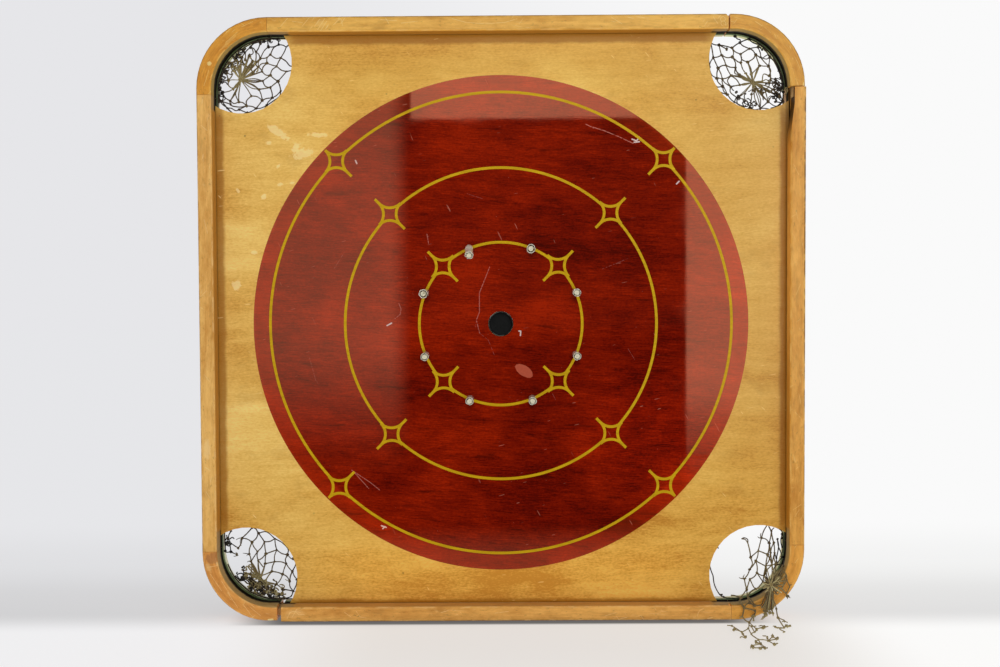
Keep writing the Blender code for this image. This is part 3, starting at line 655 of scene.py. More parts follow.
def field_material():
    t = Tree("field_red_lacquer")
    x, y, zw = t.xyz(t.here())
    z = t.sub(zw, HALF)
    broad, strip, fibre, pore, cloud, mid = veneer(t, x, y, z, 0.05)
    warp = t.noise(t.vec(t.mul(x, 3.4), t.mul(z, 8), 21.0), 1, 2, 0.5)
    zz = t.add(t.add(z, t.mul(x, 0.05)), t.mul(warp, 0.034))
    streak = t.noise(t.vec(t.mul(x, 16), t.mul(zz, 250), 11.0), 1, 4, 0.62, 0.4)
    hair = t.noise(t.vec(t.mul(x, 70), t.mul(zz, 900), 4.0), 1, 3, 0.6)
    blotch = t.noise(t.vec(t.mul(x, 11), t.mul(z, 17), 14.0), 1, 4, 0.6, 0.5)
    grit = t.noise(t.vec(t.mul(x, 300), 0.0, t.mul(z, 620)), 1, 2, 0.6)
    k = t.add(t.add(t.mul(t.sub(broad, 0.5), 0.40), t.mul(t.sub(streak, 0.5), 0.42)),
              t.add(t.mul(t.sub(hair, 0.5), 0.80), t.mul(t.sub(cloud, 0.5), 0.75)))
    k = t.add(k, t.add(t.add(t.mul(t.sub(mid, 0.5), 0.48), t.mul(t.sub(grit, 0.5), 0.55)), t.mul(t.sub(blotch, 0.5), 0.75)))
    # warmer in the middle and on the left, darker to the upper right and round the foot
    mids = t.spot(x, z, -0.01, 0.05, 0.17, 0.12)
    k = t.add(k, t.mul(t.step(mids, 1.6, 0.0), -0.10))
    dim = t.spot(x, z, 0.14, 0.11, 0.11, 0.08)
    k = t.add(k, t.mul(t.step(dim, 1.4, 0.0), 0.14))
    k = t.add(k, t.mul(z, -0.12))
    col = t.ramp(t.line(k, -0.34, 0.36), [
        (0.0, lin(170, 37, 5)), (0.32, lin(139, 26, 3)), (0.66, lin(108, 14, 2)), (1.0, lin(68, 6, 2))])
    # dark lines of the grain, drawn out and broken
    rings = t.f("FRACT", t.add(t.mul(zz, 46), t.mul(broad, 2.4)))
    rings = t.mul(t.step(t.f("ABSOLUTE", t.sub(rings, 0.5)), 0.10, 0.02), t.step(mid, 0.50, 0.66))
    col = t.mix(t.mul(rings, 0.50), col, lin(50, 5, 2))
    pale, thin, chips, oval = field_marks(t, x, z)
    rag = t.noise(t.vec(t.mul(x, 420), t.mul(z, 420), 0.0), 1, 2, 0.6)
    pale = t.mul(pale, t.step(rag, 0.30, 0.52))
    thin = t.mul(thin, t.step(rag, 0.40, 0.56))
    col = t.mix(t.mul(oval, 0.85), col, t.mix(rag, lin(190, 84, 60), lin(172, 66, 46)))
    col = t.mix(t.mul(t.both(pale, t.mul(thin, 0.6)), 0.50), col, lin(196, 120, 112))
    col = t.mix(t.mul(chips, 0.85), col, lin(222, 208, 204))
    # painted shadow under each peg
    grime_and_shadow = None
    for k_ in range(1, 9):
        a_ = radians(112.5 - 45 * (k_ - 1))
        d = t.spot(x, z, FIELD_X + PEG_RING_R * cos(a_), FIELD_Z + PEG_RING_R * sin(a_) - 0.0050, 0.0080, 0.0105)
        grime_and_shadow = d if grime_and_shadow is None else t.f("MINIMUM", grime_and_shadow, d)
    col = t.mix(t.step(grime_and_shadow, 1.0, 0.25, 0.0, 0.55), col, lin(44, 4, 2))
    # dust specks and hair scratches
    dots = t.cells(t.vec(x, 0.0, z), 95)
    few = t.step(t.noise(t.vec(t.mul(x, 26), t.mul(z, 26), 2.0), 1, 1), 0.54, 0.60)
    dot = t.mul(t.step(dots, 0.048, 0.028), few)
    sc = t.noise(t.vec(t.add(t.mul(x, 230), t.mul(z, 110)), t.add(t.mul(z, 26), t.mul(x, -16)), 2.0), 1, 1, 0.3)
    sc2 = t.noise(t.vec(t.add(t.mul(x, 90), t.mul(z, -420)), t.add(t.mul(z, 16), t.mul(x, 60)), 9.0), 1, 1, 0.3)
    hairs = t.mul(t.both(t.step(sc, 0.765, 0.790), t.step(sc2, 0.765, 0.790)), t.step(cloud, 0.44, 0.58))
    col = t.mix(t.both(t.mul(dot, 0.45), t.mul(hairs, 0.30)), col, lin(196, 122, 106))
    # painted sheen: a lighter patch to the lower right
    low = t.spot(x, z, 0.190, -0.140, 0.13, 0.11)
    col = t.mix(t.step(low, 1.0, 0.2), col, t.mix(1.0, col, (1.50, 1.50, 1.40), "MULTIPLY"))
    # worn rim of the painted circle
    r = t.spot(x, z, FIELD_X, FIELD_Z, 0.294, 0.294)
    ragr = t.noise(t.vec(t.mul(x, 60), t.mul(z, 60), 3.0), 1, 4, 0.7)
    col = t.mix(t.mul(t.step(r, 0.930, 0.945), t.add(0.06, t.mul(ragr, 0.22))), col, lin(176, 62, 28))
    col = t.mix(t.mul(t.step(r, 0.925, 0.950), t.step(z, 0.16, 0.05)), col, t.mix(1.0, col, (1.38, 1.22, 1.0), "MULTIPLY"))
    rim = t.mul(t.step(r, 0.985, 1.0), t.step(ragr, 0.42, 0.60))
    col = t.mix(t.mul(rim, 0.35), col, lin(176, 60, 26))
    marks = t.both(t.both(pale, chips), t.both(oval, hairs))
    haze = t.noise(t.vec(t.mul(x, 9), t.mul(z, 12), 30.0), 1, 3, 0.6)
    rough = t.add(0.022, t.add(t.mul(t.step(haze, 0.45, 0.75), 0.035), t.mul(marks, 0.40)))
    h = t.add(t.mul(hair, 0.22), t.mul(streak, 0.20))
    slow = t.noise(t.vec(t.mul(x, 14), t.mul(z, 22), 0.0), 1, 2, 0.5)
    n = t.bump(t.add(h, t.mul(slow, 1.0)), 0.030, 0.0004)
    t.shader(Base_Color=col, Roughness=rough, Specular_IOR_Level=1.0, Specular_Tint=(1.0, 0.39, 0.225, 1), Normal=n)
    return t.m


def gold_material():
    t = Tree("ring_gold")
    x, y, zw = t.xyz(t.here())
    z = t.sub(zw, HALF)
    n1 = t.noise(t.vec(t.mul(x, 12), t.mul(z, 240), 1.0), 1, 4, 0.6)
    n2 = t.noise(t.vec(x, 0.0, z), 700, 2, 0.6)
    k = t.add(t.mul(n1, 0.7), t.mul(n2, 0.35))
    col = t.mix(t.line(k, 0.35, 0.75), lin(224, 182, 10), lin(184, 142, 5))
    wornd = t.noise(t.vec(x, 0.2, z), 330, 4, 0.7)
    worn = t.step(wornd, 0.66, 0.74)
    col = t.mix(t.mul(worn, 0.6), col, lin(120, 56, 14))
    t.shader(Base_Color=col, Roughness=t.add(0.20, t.mul(n2, 0.2)), Specular_IOR_Level=0.32, Specular_Tint=(1.0, 0.78, 0.30, 1), Normal=t.bump(t.add(n1, t.mul(worn, -0.8)), 0.10, 0.0002))
    return t.m


def raw_wood_material():
    t = Tree("raw_wood")
    x, y, z = t.xyz(t.here())
    n = t.noise(t.vec(t.mul(x, 300), t.mul(y, 60), t.mul(z, 300)), 1, 4, 0.7)
    col = t.mix(n, lin(222, 186, 128), lin(156, 112, 62))
    t.shader(Base_Color=col, Roughness=0.85, Specular_IOR_Level=0.2, Normal=t.bump(n, 0.8, 0.0008))
    return t.m


def cup_material():
    t = Tree("cup_black")
    x, y, zw = t.xyz(t.here())
    n = t.noise(t.vec(x, y, zw), 420, 3, 0.6)
    col = t.mix(n, lin(3, 3, 3), lin(18, 19, 18))
    lip = t.step(y, FRONT + 0.0016, FRONT + 0.0010)
    rub = t.noise(t.vec(x, y, zw), 210, 3, 0.6)
    col = t.mix(t.mul(lip, t.step(rub, 0.44, 0.58, 0.10, 0.9)), col, lin(96, 96, 90))
    t.shader(Base_Color=col, Roughness=t.add(0.34, t.mul(n, 0.3)), Specular_IOR_Level=0.11, Normal=t.bump(n, 0.25, 0.0005))
    return t.m


def post_material():
    t = Tree("peg_cream")
    x, y, z = t.xyz(t.here())
    n = t.noise(t.vec(x, y, z), 900, 3, 0.6)
    dirt = t.noise(t.vec(x, y, z), 260, 3, 0.6)
    col = t.mix(n, lin(236, 230, 204), lin(206, 198, 166))
    col = t.mix(t.step(dirt, 0.54, 0.70, 0.0, 0.75), col, lin(132, 122, 92))
    t.shader(Base_Color=col, Roughness=0.42, Specular_IOR_Level=0.5, Subsurface_Weight=0.15,
             Subsurface_Radius=(0.002, 0.0015, 0.001), Normal=t.bump(n, 0.35, 0.0005))
    return t.m


def sleeve_material():
    t = Tree("peg_sleeve")
    x, y, z = t.xyz(t.here())
    n = t.noise(t.vec(x, y, z), 420, 3, 0.6)
    ridges = t.noise(t.vec(t.mul(x, 240), t.mul(y, 700), t.mul(z, 240)), 1, 2, 0.5)
    dirt = t.noise(t.vec(x, y, z), 300, 4, 0.65)
    col = t.mix(n, lin(244, 240, 222), lin(206, 200, 178))
    col = t.mix(t.step(dirt, 0.54, 0.64, 0.0, 0.62), col, lin(104, 94, 68))
    t.shader(Base_Color=col, Roughness=t.add(0.05, t.mul(n, 0.10)), IOR=1.5, Transmission_Weight=0.10,
             Specular_IOR_Level=1.0, Coat_Weight=1.0, Coat_Roughness=0.03, Normal=t.bump(ridges, 0.45, 0.0008))
    return t.m


def twine_material():
    t = Tree("net_twine")
    a = t.node("ShaderNodeAttribute", attribute_name="shade")
    shade = a.outputs["Fac"]
    uv = t.node("ShaderNodeUVMap", uv_map="lay")
    u, v, _ = t.xyz(uv.outputs[0])
    x, y, z = t.xyz(t.here())
    ply = t.f("FRACT", t.add(t.mul(u, 3.0), t.mul(v, 620.0)))
    strand = t.f("SINE", t.mul(ply, pi))
    n = t.noise(t.vec(x, y, z), 900, 3, 0.65)
    big = t.noise(t.vec(x, y, z), 90, 2, 0.5)
    k = t.add(shade, t.add(t.mul(t.sub(big, 0.5), 0.55), t.mul(t.sub(n, 0.5), 0.4)))
    col = t.ramp(k, [(0.0, lin(26, 22, 17)), (0.26, lin(88, 70, 44)), (0.58, lin(158, 138, 88)), (1.0, lin(222, 208, 152))])
    # painted shade in the grooves between the plies
    col = t.mix(t.step(strand, 0.42, 0.10, 0.0, 0.55), col, lin(30, 25, 17))
    fuzz = t.noise(t.vec(x, y, z), 2600, 2, 0.7)
    t.shader(Base_Color=col, Roughness=0.85, Specular_IOR_Level=0.2, Sheen_Weight=0.15,
             Normal=t.bump(t.add(strand, t.mul(fuzz, 0.5)), 0.7, 0.0003))
    return t.m


mat_panel, mat_field, mat_gold = panel_material(), field_material(), gold_material()
mat_raw, mat_cup = raw_wood_material(), cup_material()
mat_post, mat_sleeve, mat_twine = post_material(), sleeve_material(), twine_material()

STRAIGHT_L, STRAIGHT_D = lin(226, 178, 104), lin(192, 134, 60)


def arcs(cx, cz, r, a0, a1, n=6):
    return [(cx + r * cos(radians(a0 + (a1 - a0) * k / n)), cz + r * sin(radians(a0 + (a1 - a0) * k / n))) for k in range(n + 1)]


PALE, PURPLE = lin(240, 216, 170), lin(118, 74, 62)
rails = {
    "top_rail": dict(kind="x", light=lin(230, 184, 104), dark=lin(198, 144, 64), seed=1, gain=(1.22, 1.13, 0.75), cut=0.66, cuts_at=[
        [(-0.2125, 0.3400), (-0.2040, 0.3530)], [(-0.2090, 0.3390), (-0.2015, 0.3500)], [(-0.2160, 0.3440), (-0.2100, 0.3520)],
        [(-0.0560, 0.3520), (-0.0400, 0.3475), (-0.0180, 0.3455), (0.0060, 0.3470), (0.0200, 0.3510)],
        [(-0.2558, 0.3441), (-0.2474, 0.3535)], [(-0.2306, 0.3441), (-0.2222, 0.3538)], [(-0.1940, 0.3455), (-0.1860, 0.3530)],
        [(-0.1850, 0.3520), (-0.1830, 0.3440)], [(-0.1390, 0.3512), (-0.1200, 0.3498)], [(-0.1330, 0.3530), (-0.1290, 0.3460)],
        [(0.2480, 0.3520), (0.2535, 0.3440)], arcs(0.2595, 0.3490, 0.0030, -60, 230), arcs(0.2600, 0.3440, 0.0030, -40, 280),
        [(-0.2420, 0.3500), (-0.2300, 0.3485)], [(0.1300, 0.3520), (0.1420, 0.3445)], [(-0.1150, 0.3470), (-0.0960, 0.3490)]],
        spots_at=[(-0.2095, 0.3475, 0.0050, 0.0050, 0.3, 0.16, PALE)]),
    "bottom_rail": dict(kind="x", light=lin(214, 164, 94), dark=lin(180, 124, 58), seed=5, gain=(1.52, 1.40, 1.04), upward_face_light=0.8, cuts_at=[
        [(-0.2560, -0.3520), (-0.2525, -0.3440), (-0.2470, -0.3425), (-0.2400, -0.3440)], [(-0.2500, -0.3500), (-0.2440, -0.3400)],
        [(-0.2430, -0.3460), (-0.2350, -0.3470)], arcs(-0.2480, -0.3490, 0.0060, 20, 160), [(-0.1880, -0.3440), (-0.1800, -0.3500)],
        [(-0.1740, -0.3430), (-0.1690, -0.3500), (-0.1620, -0.3510)], [(-0.0100, -0.3460), (0.0060, -0.3440)],
        arcs(0.2380, -0.3500, 0.0085, 100, 190), [(0.1200, -0.3500), (0.1330, -0.3460)]],
        spots_at=[(-0.2470, -0.3455, 0.0120, 0.0050, 0.1, 0.12, PALE)]),
    "left_rail": dict(kind="z", light=STRAIGHT_L, dark=STRAIGHT_D, seed=9, gain=(1.29, 1.27, 1.11), cuts_at=[
        [(-0.3500, -0.2000), (-0.3450, -0.2080)], [(-0.3480, 0.1200), (-0.3440, 0.1040)], [(-0.3530, 0.0300), (-0.3470, 0.0360)],
        [(-0.3440, -0.0700), (-0.3500, -0.0620)], [(-0.3500, 0.2300), (-0.3430, 0.2240)]],
        spots_at=[(-0.3480, -0.1500, 0.0040, 0.0120, 0.0, 0.25, PALE)]),
    "right_rail": dict(kind="z", light=lin(222, 168, 98), dark=lin(186, 126, 56), seed=13, gain=(1.29, 1.22, 0.75), gap=True, cuts_at=[
        [(0.3420, -0.2250), (0.3510, -0.2190)], [(0.3440, -0.2330), (0.3490, -0.2250)], [(0.3500, -0.2370), (0.3540, -0.2310)],
        [(0.3420, 0.1800), (0.3480, 0.1680)], [(0.3500, 0.0400), (0.3450, 0.0280)], [(0.3440, -0.1100), (0.3500, -0.1160)]]),
    "corner_rail_top_left": dict(kind="c", light=lin(216, 152, 70), dark=lin(182, 114, 40), seed=17, gain=(1.34, 1.37, 0.78), cuts_at=[
        [(-0.3460, 0.2760), (-0.3400, 0.2940)], [(-0.3380, 0.2860), (-0.3230, 0.3110)],
        [(-0.3200, 0.3260), (-0.3060, 0.3380)], [(-0.3440, 0.2620), (-0.3380, 0.2700)], [(-0.3010, 0.3440), (-0.2880, 0.3500)]],
        spots_at=[(-0.3393, 0.3017, 0.0030, 0.0024, 0.4, 0.62, lin(228, 208, 172)), (-0.3170, 0.3260, 0.0140, 0.0014, 0.75, 0.14, PALE)]),
    "corner_rail_top_right": dict(kind="c", light=lin(214, 158, 82), dark=lin(184, 122, 50), seed=21, gain=(1.34, 1.36, 0.84), cuts_at=[
        [(0.3050, 0.3420), (0.3150, 0.3330)], [(0.3480, 0.2700), (0.3440, 0.2800)]],
        spots_at=[(0.3535, 0.2690, 0.0012, 0.0060, 0.0, 0.7, PALE), (0.3100, 0.3330, 0.0120, 0.0050, -0.7, 0.30, lin(168, 104, 40))]),
    "corner_rail_bottom_left": dict(kind="c", light=lin(212, 150, 84), dark=lin(180, 114, 54), seed=25, gain=(1.40, 1.38, 1.02), cuts_at=[
        [(-0.3500, -0.2900), (-0.3380, -0.2880)], [(-0.3460, -0.2980), (-0.3330, -0.3180)],
        [(-0.3400, -0.2790), (-0.3340, -0.2990)], [(-0.3260, -0.3200), (-0.3140, -0.3380)], [(-0.3080, -0.3340), (-0.2960, -0.3500)],
        [(-0.2990, -0.3380), (-0.2870, -0.3480)], [(-0.3330, -0.3060), (-0.3230, -0.3230)]],
        spots_at=[(-0.3430, -0.2790, 0.0085, 0.0070, 0.4, 0.42, PURPLE), (-0.3350, -0.2850, 0.0040, 0.0030, 0.4, 0.28, PALE),
                  (-0.2755, -0.3528, 0.0035, 0.0014, 0.0, 0.9, PALE), (-0.3480, -0.2900, 0.0030, 0.0060, 0.3, 0.22, PALE)]),
    "corner_rail_bottom_right": dict(kind="c", light=lin(220, 160, 86), dark=lin(188, 124, 52), seed=29, gain=(1.36, 1.32, 0.84), cuts_at=[
        [(0.3500, -0.2600), (0.3440, -0.2700)], [(0.3440, -0.2880), (0.3480, -0.2830)]]),
}


def dress(node, mat):
    ob = nodes[node]
    for s in range(len(ob.data.materials)):
        ob.material_slots[s].material = mat
    if not ob.data.materials:
        ob.data.materials.append(mat)


for name, look in rails.items():
    dress(name, rail_material(name + "_wood", **look))
dress("playing_panel", mat_panel)
for name in nodes:
    if name.startswith("joint_tongue"):
        dress(name, mat_raw)


# =================================================== painted field and rings
def circle(cx, cz, r, n, start=0.0):
    return [(cx + r * cos(start + 2 * pi * k / n), cz + r * sin(start + 2 * pi * k / n)) for k in range(n)]


def flat_mesh(name, outlines, y0, y1, mat):
    """A thin plate from outlines in the board's plane; the first one is the outside, the others are holes."""
    data = bpy.data.curves.new(name, "CURVE")
    data.dimensions = "2D"
    data.fill_mode = "BOTH"
    data.extrude = abs(y1 - y0) / 2
    for pts in outlines:
        s = data.splines.new("POLY")
        s.points.add(len(pts) - 1)
        for p, (x, z) in zip(s.points, pts):
            p.co = (x, z, 0, 1)
        s.use_cyclic_u = True
    ob = bpy.data.objects.new(name, data)
    scene.collection.objects.link(ob)
    bpy.context.view_layer.update()
    dg = bpy.context.evaluated_depsgraph_get()
    mesh = bpy.data.meshes.new_from_object(ob.evaluated_get(dg))
    bpy.data.objects.remove(ob)
    bpy.data.curves.remove(data)
    # the curve's plane is turned upright: (x, z, t) becomes (x, -t, z)
    mesh.transform(Matrix.Translation((0, (y0 + y1) / 2, HALF)) @ Matrix.Rotation(pi / 2, 4, "X"))
    bm = bmesh.new()
    bm.from_mesh(mesh)
    bmesh.ops.remove_doubles(bm, verts=bm.verts, dist=1e-7)
    bmesh.ops.recalc_face_normals(bm, faces=bm.faces)
    bm.to_mesh(mesh)
    bm.free()
    mesh.name = name
    return new_object(name, mesh, mat, 0)


def peg_spot(k):
    a = radians(112.5 - 45 * (k - 1))
    return FIELD_X + PEG_RING_R * cos(a), FIELD_Z + PEG_RING_R * sin(a)


peg_holes = [circle(*peg_spot(k), PEG_HOLE_R, 20) for k in range(1, 9)]
field = flat_mesh("red_field", [circle(FIELD_X, FIELD_Z, 0.2940, 240), circle(FIELD_X, FIELD_Z, CUP_HOLE_R, 56)] + peg_holes,
                  FRONT + 0.00010, FRONT - 0.00007, mat_field)
ride(field)

RHO, REACH, PEN = 0.0181, 0.0256, 0.0016


def ornament_hole(cx, cz, n=10):
    """The curved square inside an ornament."""
    pts = []
    r = RHO + PEN
    t = (REACH - sqrt(max(0.0, 2 * r * r - REACH * REACH))) / 2
    half = atan2(t, REACH - t)
    for q in range(4):
        mid = pi / 2 * q                                  # direction of this side's centre
        for k in range(n):
            a = mid + pi + (half - 2 * half * k / n)
            pts.append((cx + REACH * cos(mid) + r * cos(a), cz + REACH * sin(mid) + r * sin(a)))
    return pts


def ornament_outline(cx, cz, arms, n=10):
    """Outside of an ornament; arms gives the four arms' reach from the centre at 45, 135, 225 and 315 degrees."""
    pts = []
    r = RHO - PEN
    for q in range(4):
        mid = pi / 2 * q
        # this arm lies between side q and side q + 1
        for k in range(n + 1):
            a = mid + pi + (pi / 4 - pi / 2 * k / n)
            pts.append((cx + REACH * cos(mid) + r * cos(a), cz + REACH * sin(mid) + r * sin(a)))
        d = mid + pi / 4
        ex, ez = cos(d), sin(d)
        reach = max(arms[q], RHO)
        for side in (-1, 1):
            pts.append((cx + reach * ex - side * PEN * ez, cz + reach * ez + side * PEN * ex))
    return pts


def boolean(ob, other, op):
    mod = ob.modifiers.new("b", "BOOLEAN")
    mod.operation, mod.solver, mod.object = op, "EXACT", other
    dg = bpy.context.evaluated_depsgraph_get()
    mesh = bpy.data.meshes.new_from_object(ob.evaluated_get(dg))
    ob.modifiers.clear()
    old = ob.data
    ob.data = mesh
    bpy.data.meshes.remove(old)
    bpy.data.objects.remove(other)


def prism(name, outline, y0, y1):
    bm = bmesh.new()
    a = [bm.verts.new(at(x, y0, z)) for x, z in outline]
    b = [bm.verts.new(at(x, y1, z)) for x, z in outline]
    n = len(a)
    for j in range(n):
        k = (j + 1) % n
        bm.faces.new((a[j], a[k], b[k], b[j]))
    bm.faces.new(a)
    bm.faces.new(list(reversed(b)))
    bmesh.ops.recalc_face_normals(bm, faces=bm.faces)
    return bm


def joined(name, bms):
    out = bmesh.new()
    for b in bms:
        tmp = bpy.data.meshes.new("tmp")
        b.to_mesh(tmp)
        b.free()
        out.from_mesh(tmp)
        bpy.data.meshes.remove(tmp)
    mesh = bpy.data.meshes.new(name)
    out.to_mesh(mesh)
    out.free()
    ob = bpy.data.objects.new(name, mesh)
    scene.collection.objects.link(ob)
    return ob


def gold_ring(name, radius, inner_arm, outer_arm, holes=()):
    y0, y1 = FRONT - 0.00002, FRONT - 0.00013
    ring = flat_mesh(name, [circle(FIELD_X, FIELD_Z, radius + PEN, 220), circle(FIELD_X, FIELD_Z, radius - PEN, 220)],
                     y0, y1, None)
    spots = [(FIELD_X + radius * cos(radians(a)), FIELD_Z + radius * sin(radians(a))) for a in (45, 135, 225, 315)]
    boolean(ring, joined("h", [prism("h", ornament_hole(cx, cz), y0 + 0.001, y1 - 0.001) for cx, cz in spots]), "DIFFERENCE")
    pens = []
    for q, (cx, cz) in enumerate(spots):
        arms = [0.0] * 4
        arms[q] = outer_arm                 # the arm that points away from the middle
        arms[(q + 2) % 4] = inner_arm
        pen = flat_mesh("pen", [ornament_outline(cx, cz, arms), ornament_hole(cx, cz)], y0, y1, None)
        bm = bmesh.new()
        bm.from_mesh(pen.data)
        old = pen.data
        bpy.data.objects.remove(pen)
        bpy.data.meshes.remove(old)
        pens.append(bm)
    boolean(ring, joined("p", pens), "UNION")
    if holes:
        boolean(ring, joined("c", [prism("c", h, y0 + 0.001, y1 - 0.001) for h in holes]), "DIFFERENCE")
    ring.data.materials.clear()
    ring.data.materials.append(mat_gold)
    return ride(ring)


gold_ring("gold_ring_outer", 0.2740, 0.0255, 0.0185)
gold_ring("gold_ring_middle", 0.1850, 0.0250, 0.0250)
gold_ring("gold_ring_inner", 0.0968, 0.0250, 0.0250, peg_holes)


# ======================================================================== cup
def lathe(name, profile, centre, n, mat, close=True):
    """profile: (radius, y) pairs; turned about the Y axis through centre."""
    bm = bmesh.new()
    rings = [[bm.verts.new((centre.x + r * cos(2 * pi * j / n), y, centre.z + r * sin(2 * pi * j / n))) for j in range(n)]
             for r, y in profile]
    for a, b in zip(rings, rings[1:]):
        for j in range(n):
            k = (j + 1) % n
            bm.faces.new((a[j], a[k], b[k], b[j]))
    bm.faces.new(rings[0])
    bm.faces.new(rings[-1])
    bmesh.ops.recalc_face_normals(bm, faces=bm.faces)
    mesh = bpy.data.meshes.new(name)
    bm.to_mesh(mesh)
    bm.free()
    return new_object(name, mesh, mat, 35)


top, back = FRONT + 0.0003, PANEL_T / 2 - 0.0001
low = back - 0.0008
bore = CUP_OUT_R - 0.0011
cup = lathe("cup_shell", [
    (0.0020, low + 0.00005), (0.0060, low + 0.00012), (bore - 0.0016, low), (bore - 0.0006, low - 0.0001), (bore - 0.0001, low - 0.0006),
    (bore, low - 0.0014), (bore, top + 0.0013), (bore + 0.00015, top + 0.0006), (bore + 0.0004, top + 0.0002),
    (bore + 0.0006, top + 0.00005), (CUP_OUT_R - 0.0003, top), (CUP_OUT_R - 0.0001, top + 0.0001), (CUP_OUT_R, top + 0.0004),
    (CUP_OUT_R, top + 0.0010), (CUP_OUT_R + 0.00034, top + 0.0014), (CUP_OUT_R + 0.00034, top + 0.0030), (CUP_OUT_R, top + 0.0034),
    (CUP_OUT_R, back - 0.0008), (CUP_OUT_R - 0.0003, back - 0.0002), (CUP_OUT_R - 0.0008, back)],
    at(FIELD_X, 0, FIELD_Z), 64, mat_cup)
ride(cup, hides=["centre_cup"])


# ======================================================================= nets
def from_circle(ox, oz, dx, dz, cx, cz, r):
    b = dx * (ox - cx) + dz * (oz - cz)
    return -b + sqrt(b * b - ((ox - cx) ** 2 + (oz - cz) ** 2 - r * r))


def mouth(theta, bite_r, inset):
    """Distance from the mouth's middle to its edge, as in the CAD source."""
    dx, dz = cos(theta), sin(theta)
    best = from_circle(MOUTH_C, MOUTH_C, dx, dz, POCKET_C, POCKET_C, bite_r)
    wall = INNER - inset
    t = min((wall - MOUTH_C) / dx if dx > 1e-6 else 9, (wall - MOUTH_C) / dz if dz > 1e-6 else 9)
    if MOUTH_C + t * dx > A and MOUTH_C + t * dz > A:
        t = from_circle(MOUTH_C, MOUTH_C, dx, dz, A, A, CORNER_R - RAIL_W - inset)
    return min(best, t)


TWINE_R = 0.00064


def catmull(pts, per):
    """A smooth line through pts, with per steps between neighbours."""
    p = np.asarray(pts, float)
    if len(p) < 3:
        k = np.linspace(0, 1, per + 1)[:, None]
        return p[0] * (1 - k) + p[-1] * k
    q = np.vstack([2 * p[0] - p[1], p, 2 * p[-1] - p[-2]])
    out = []
    for i in range(len(p) - 1):
        p0, p1, p2, p3 = q[i:i + 4]
        for j in range(per):
            t = j / per
            out.append(0.5 * (2 * p1 + (p2 - p0) * t + (2 * p0 - 5 * p1 + 4 * p2 - p3) * t * t + (3 * p1 - p0 - 3 * p2 + p3) * t ** 3))
    out.append(p[-1])
    return np.array(out)


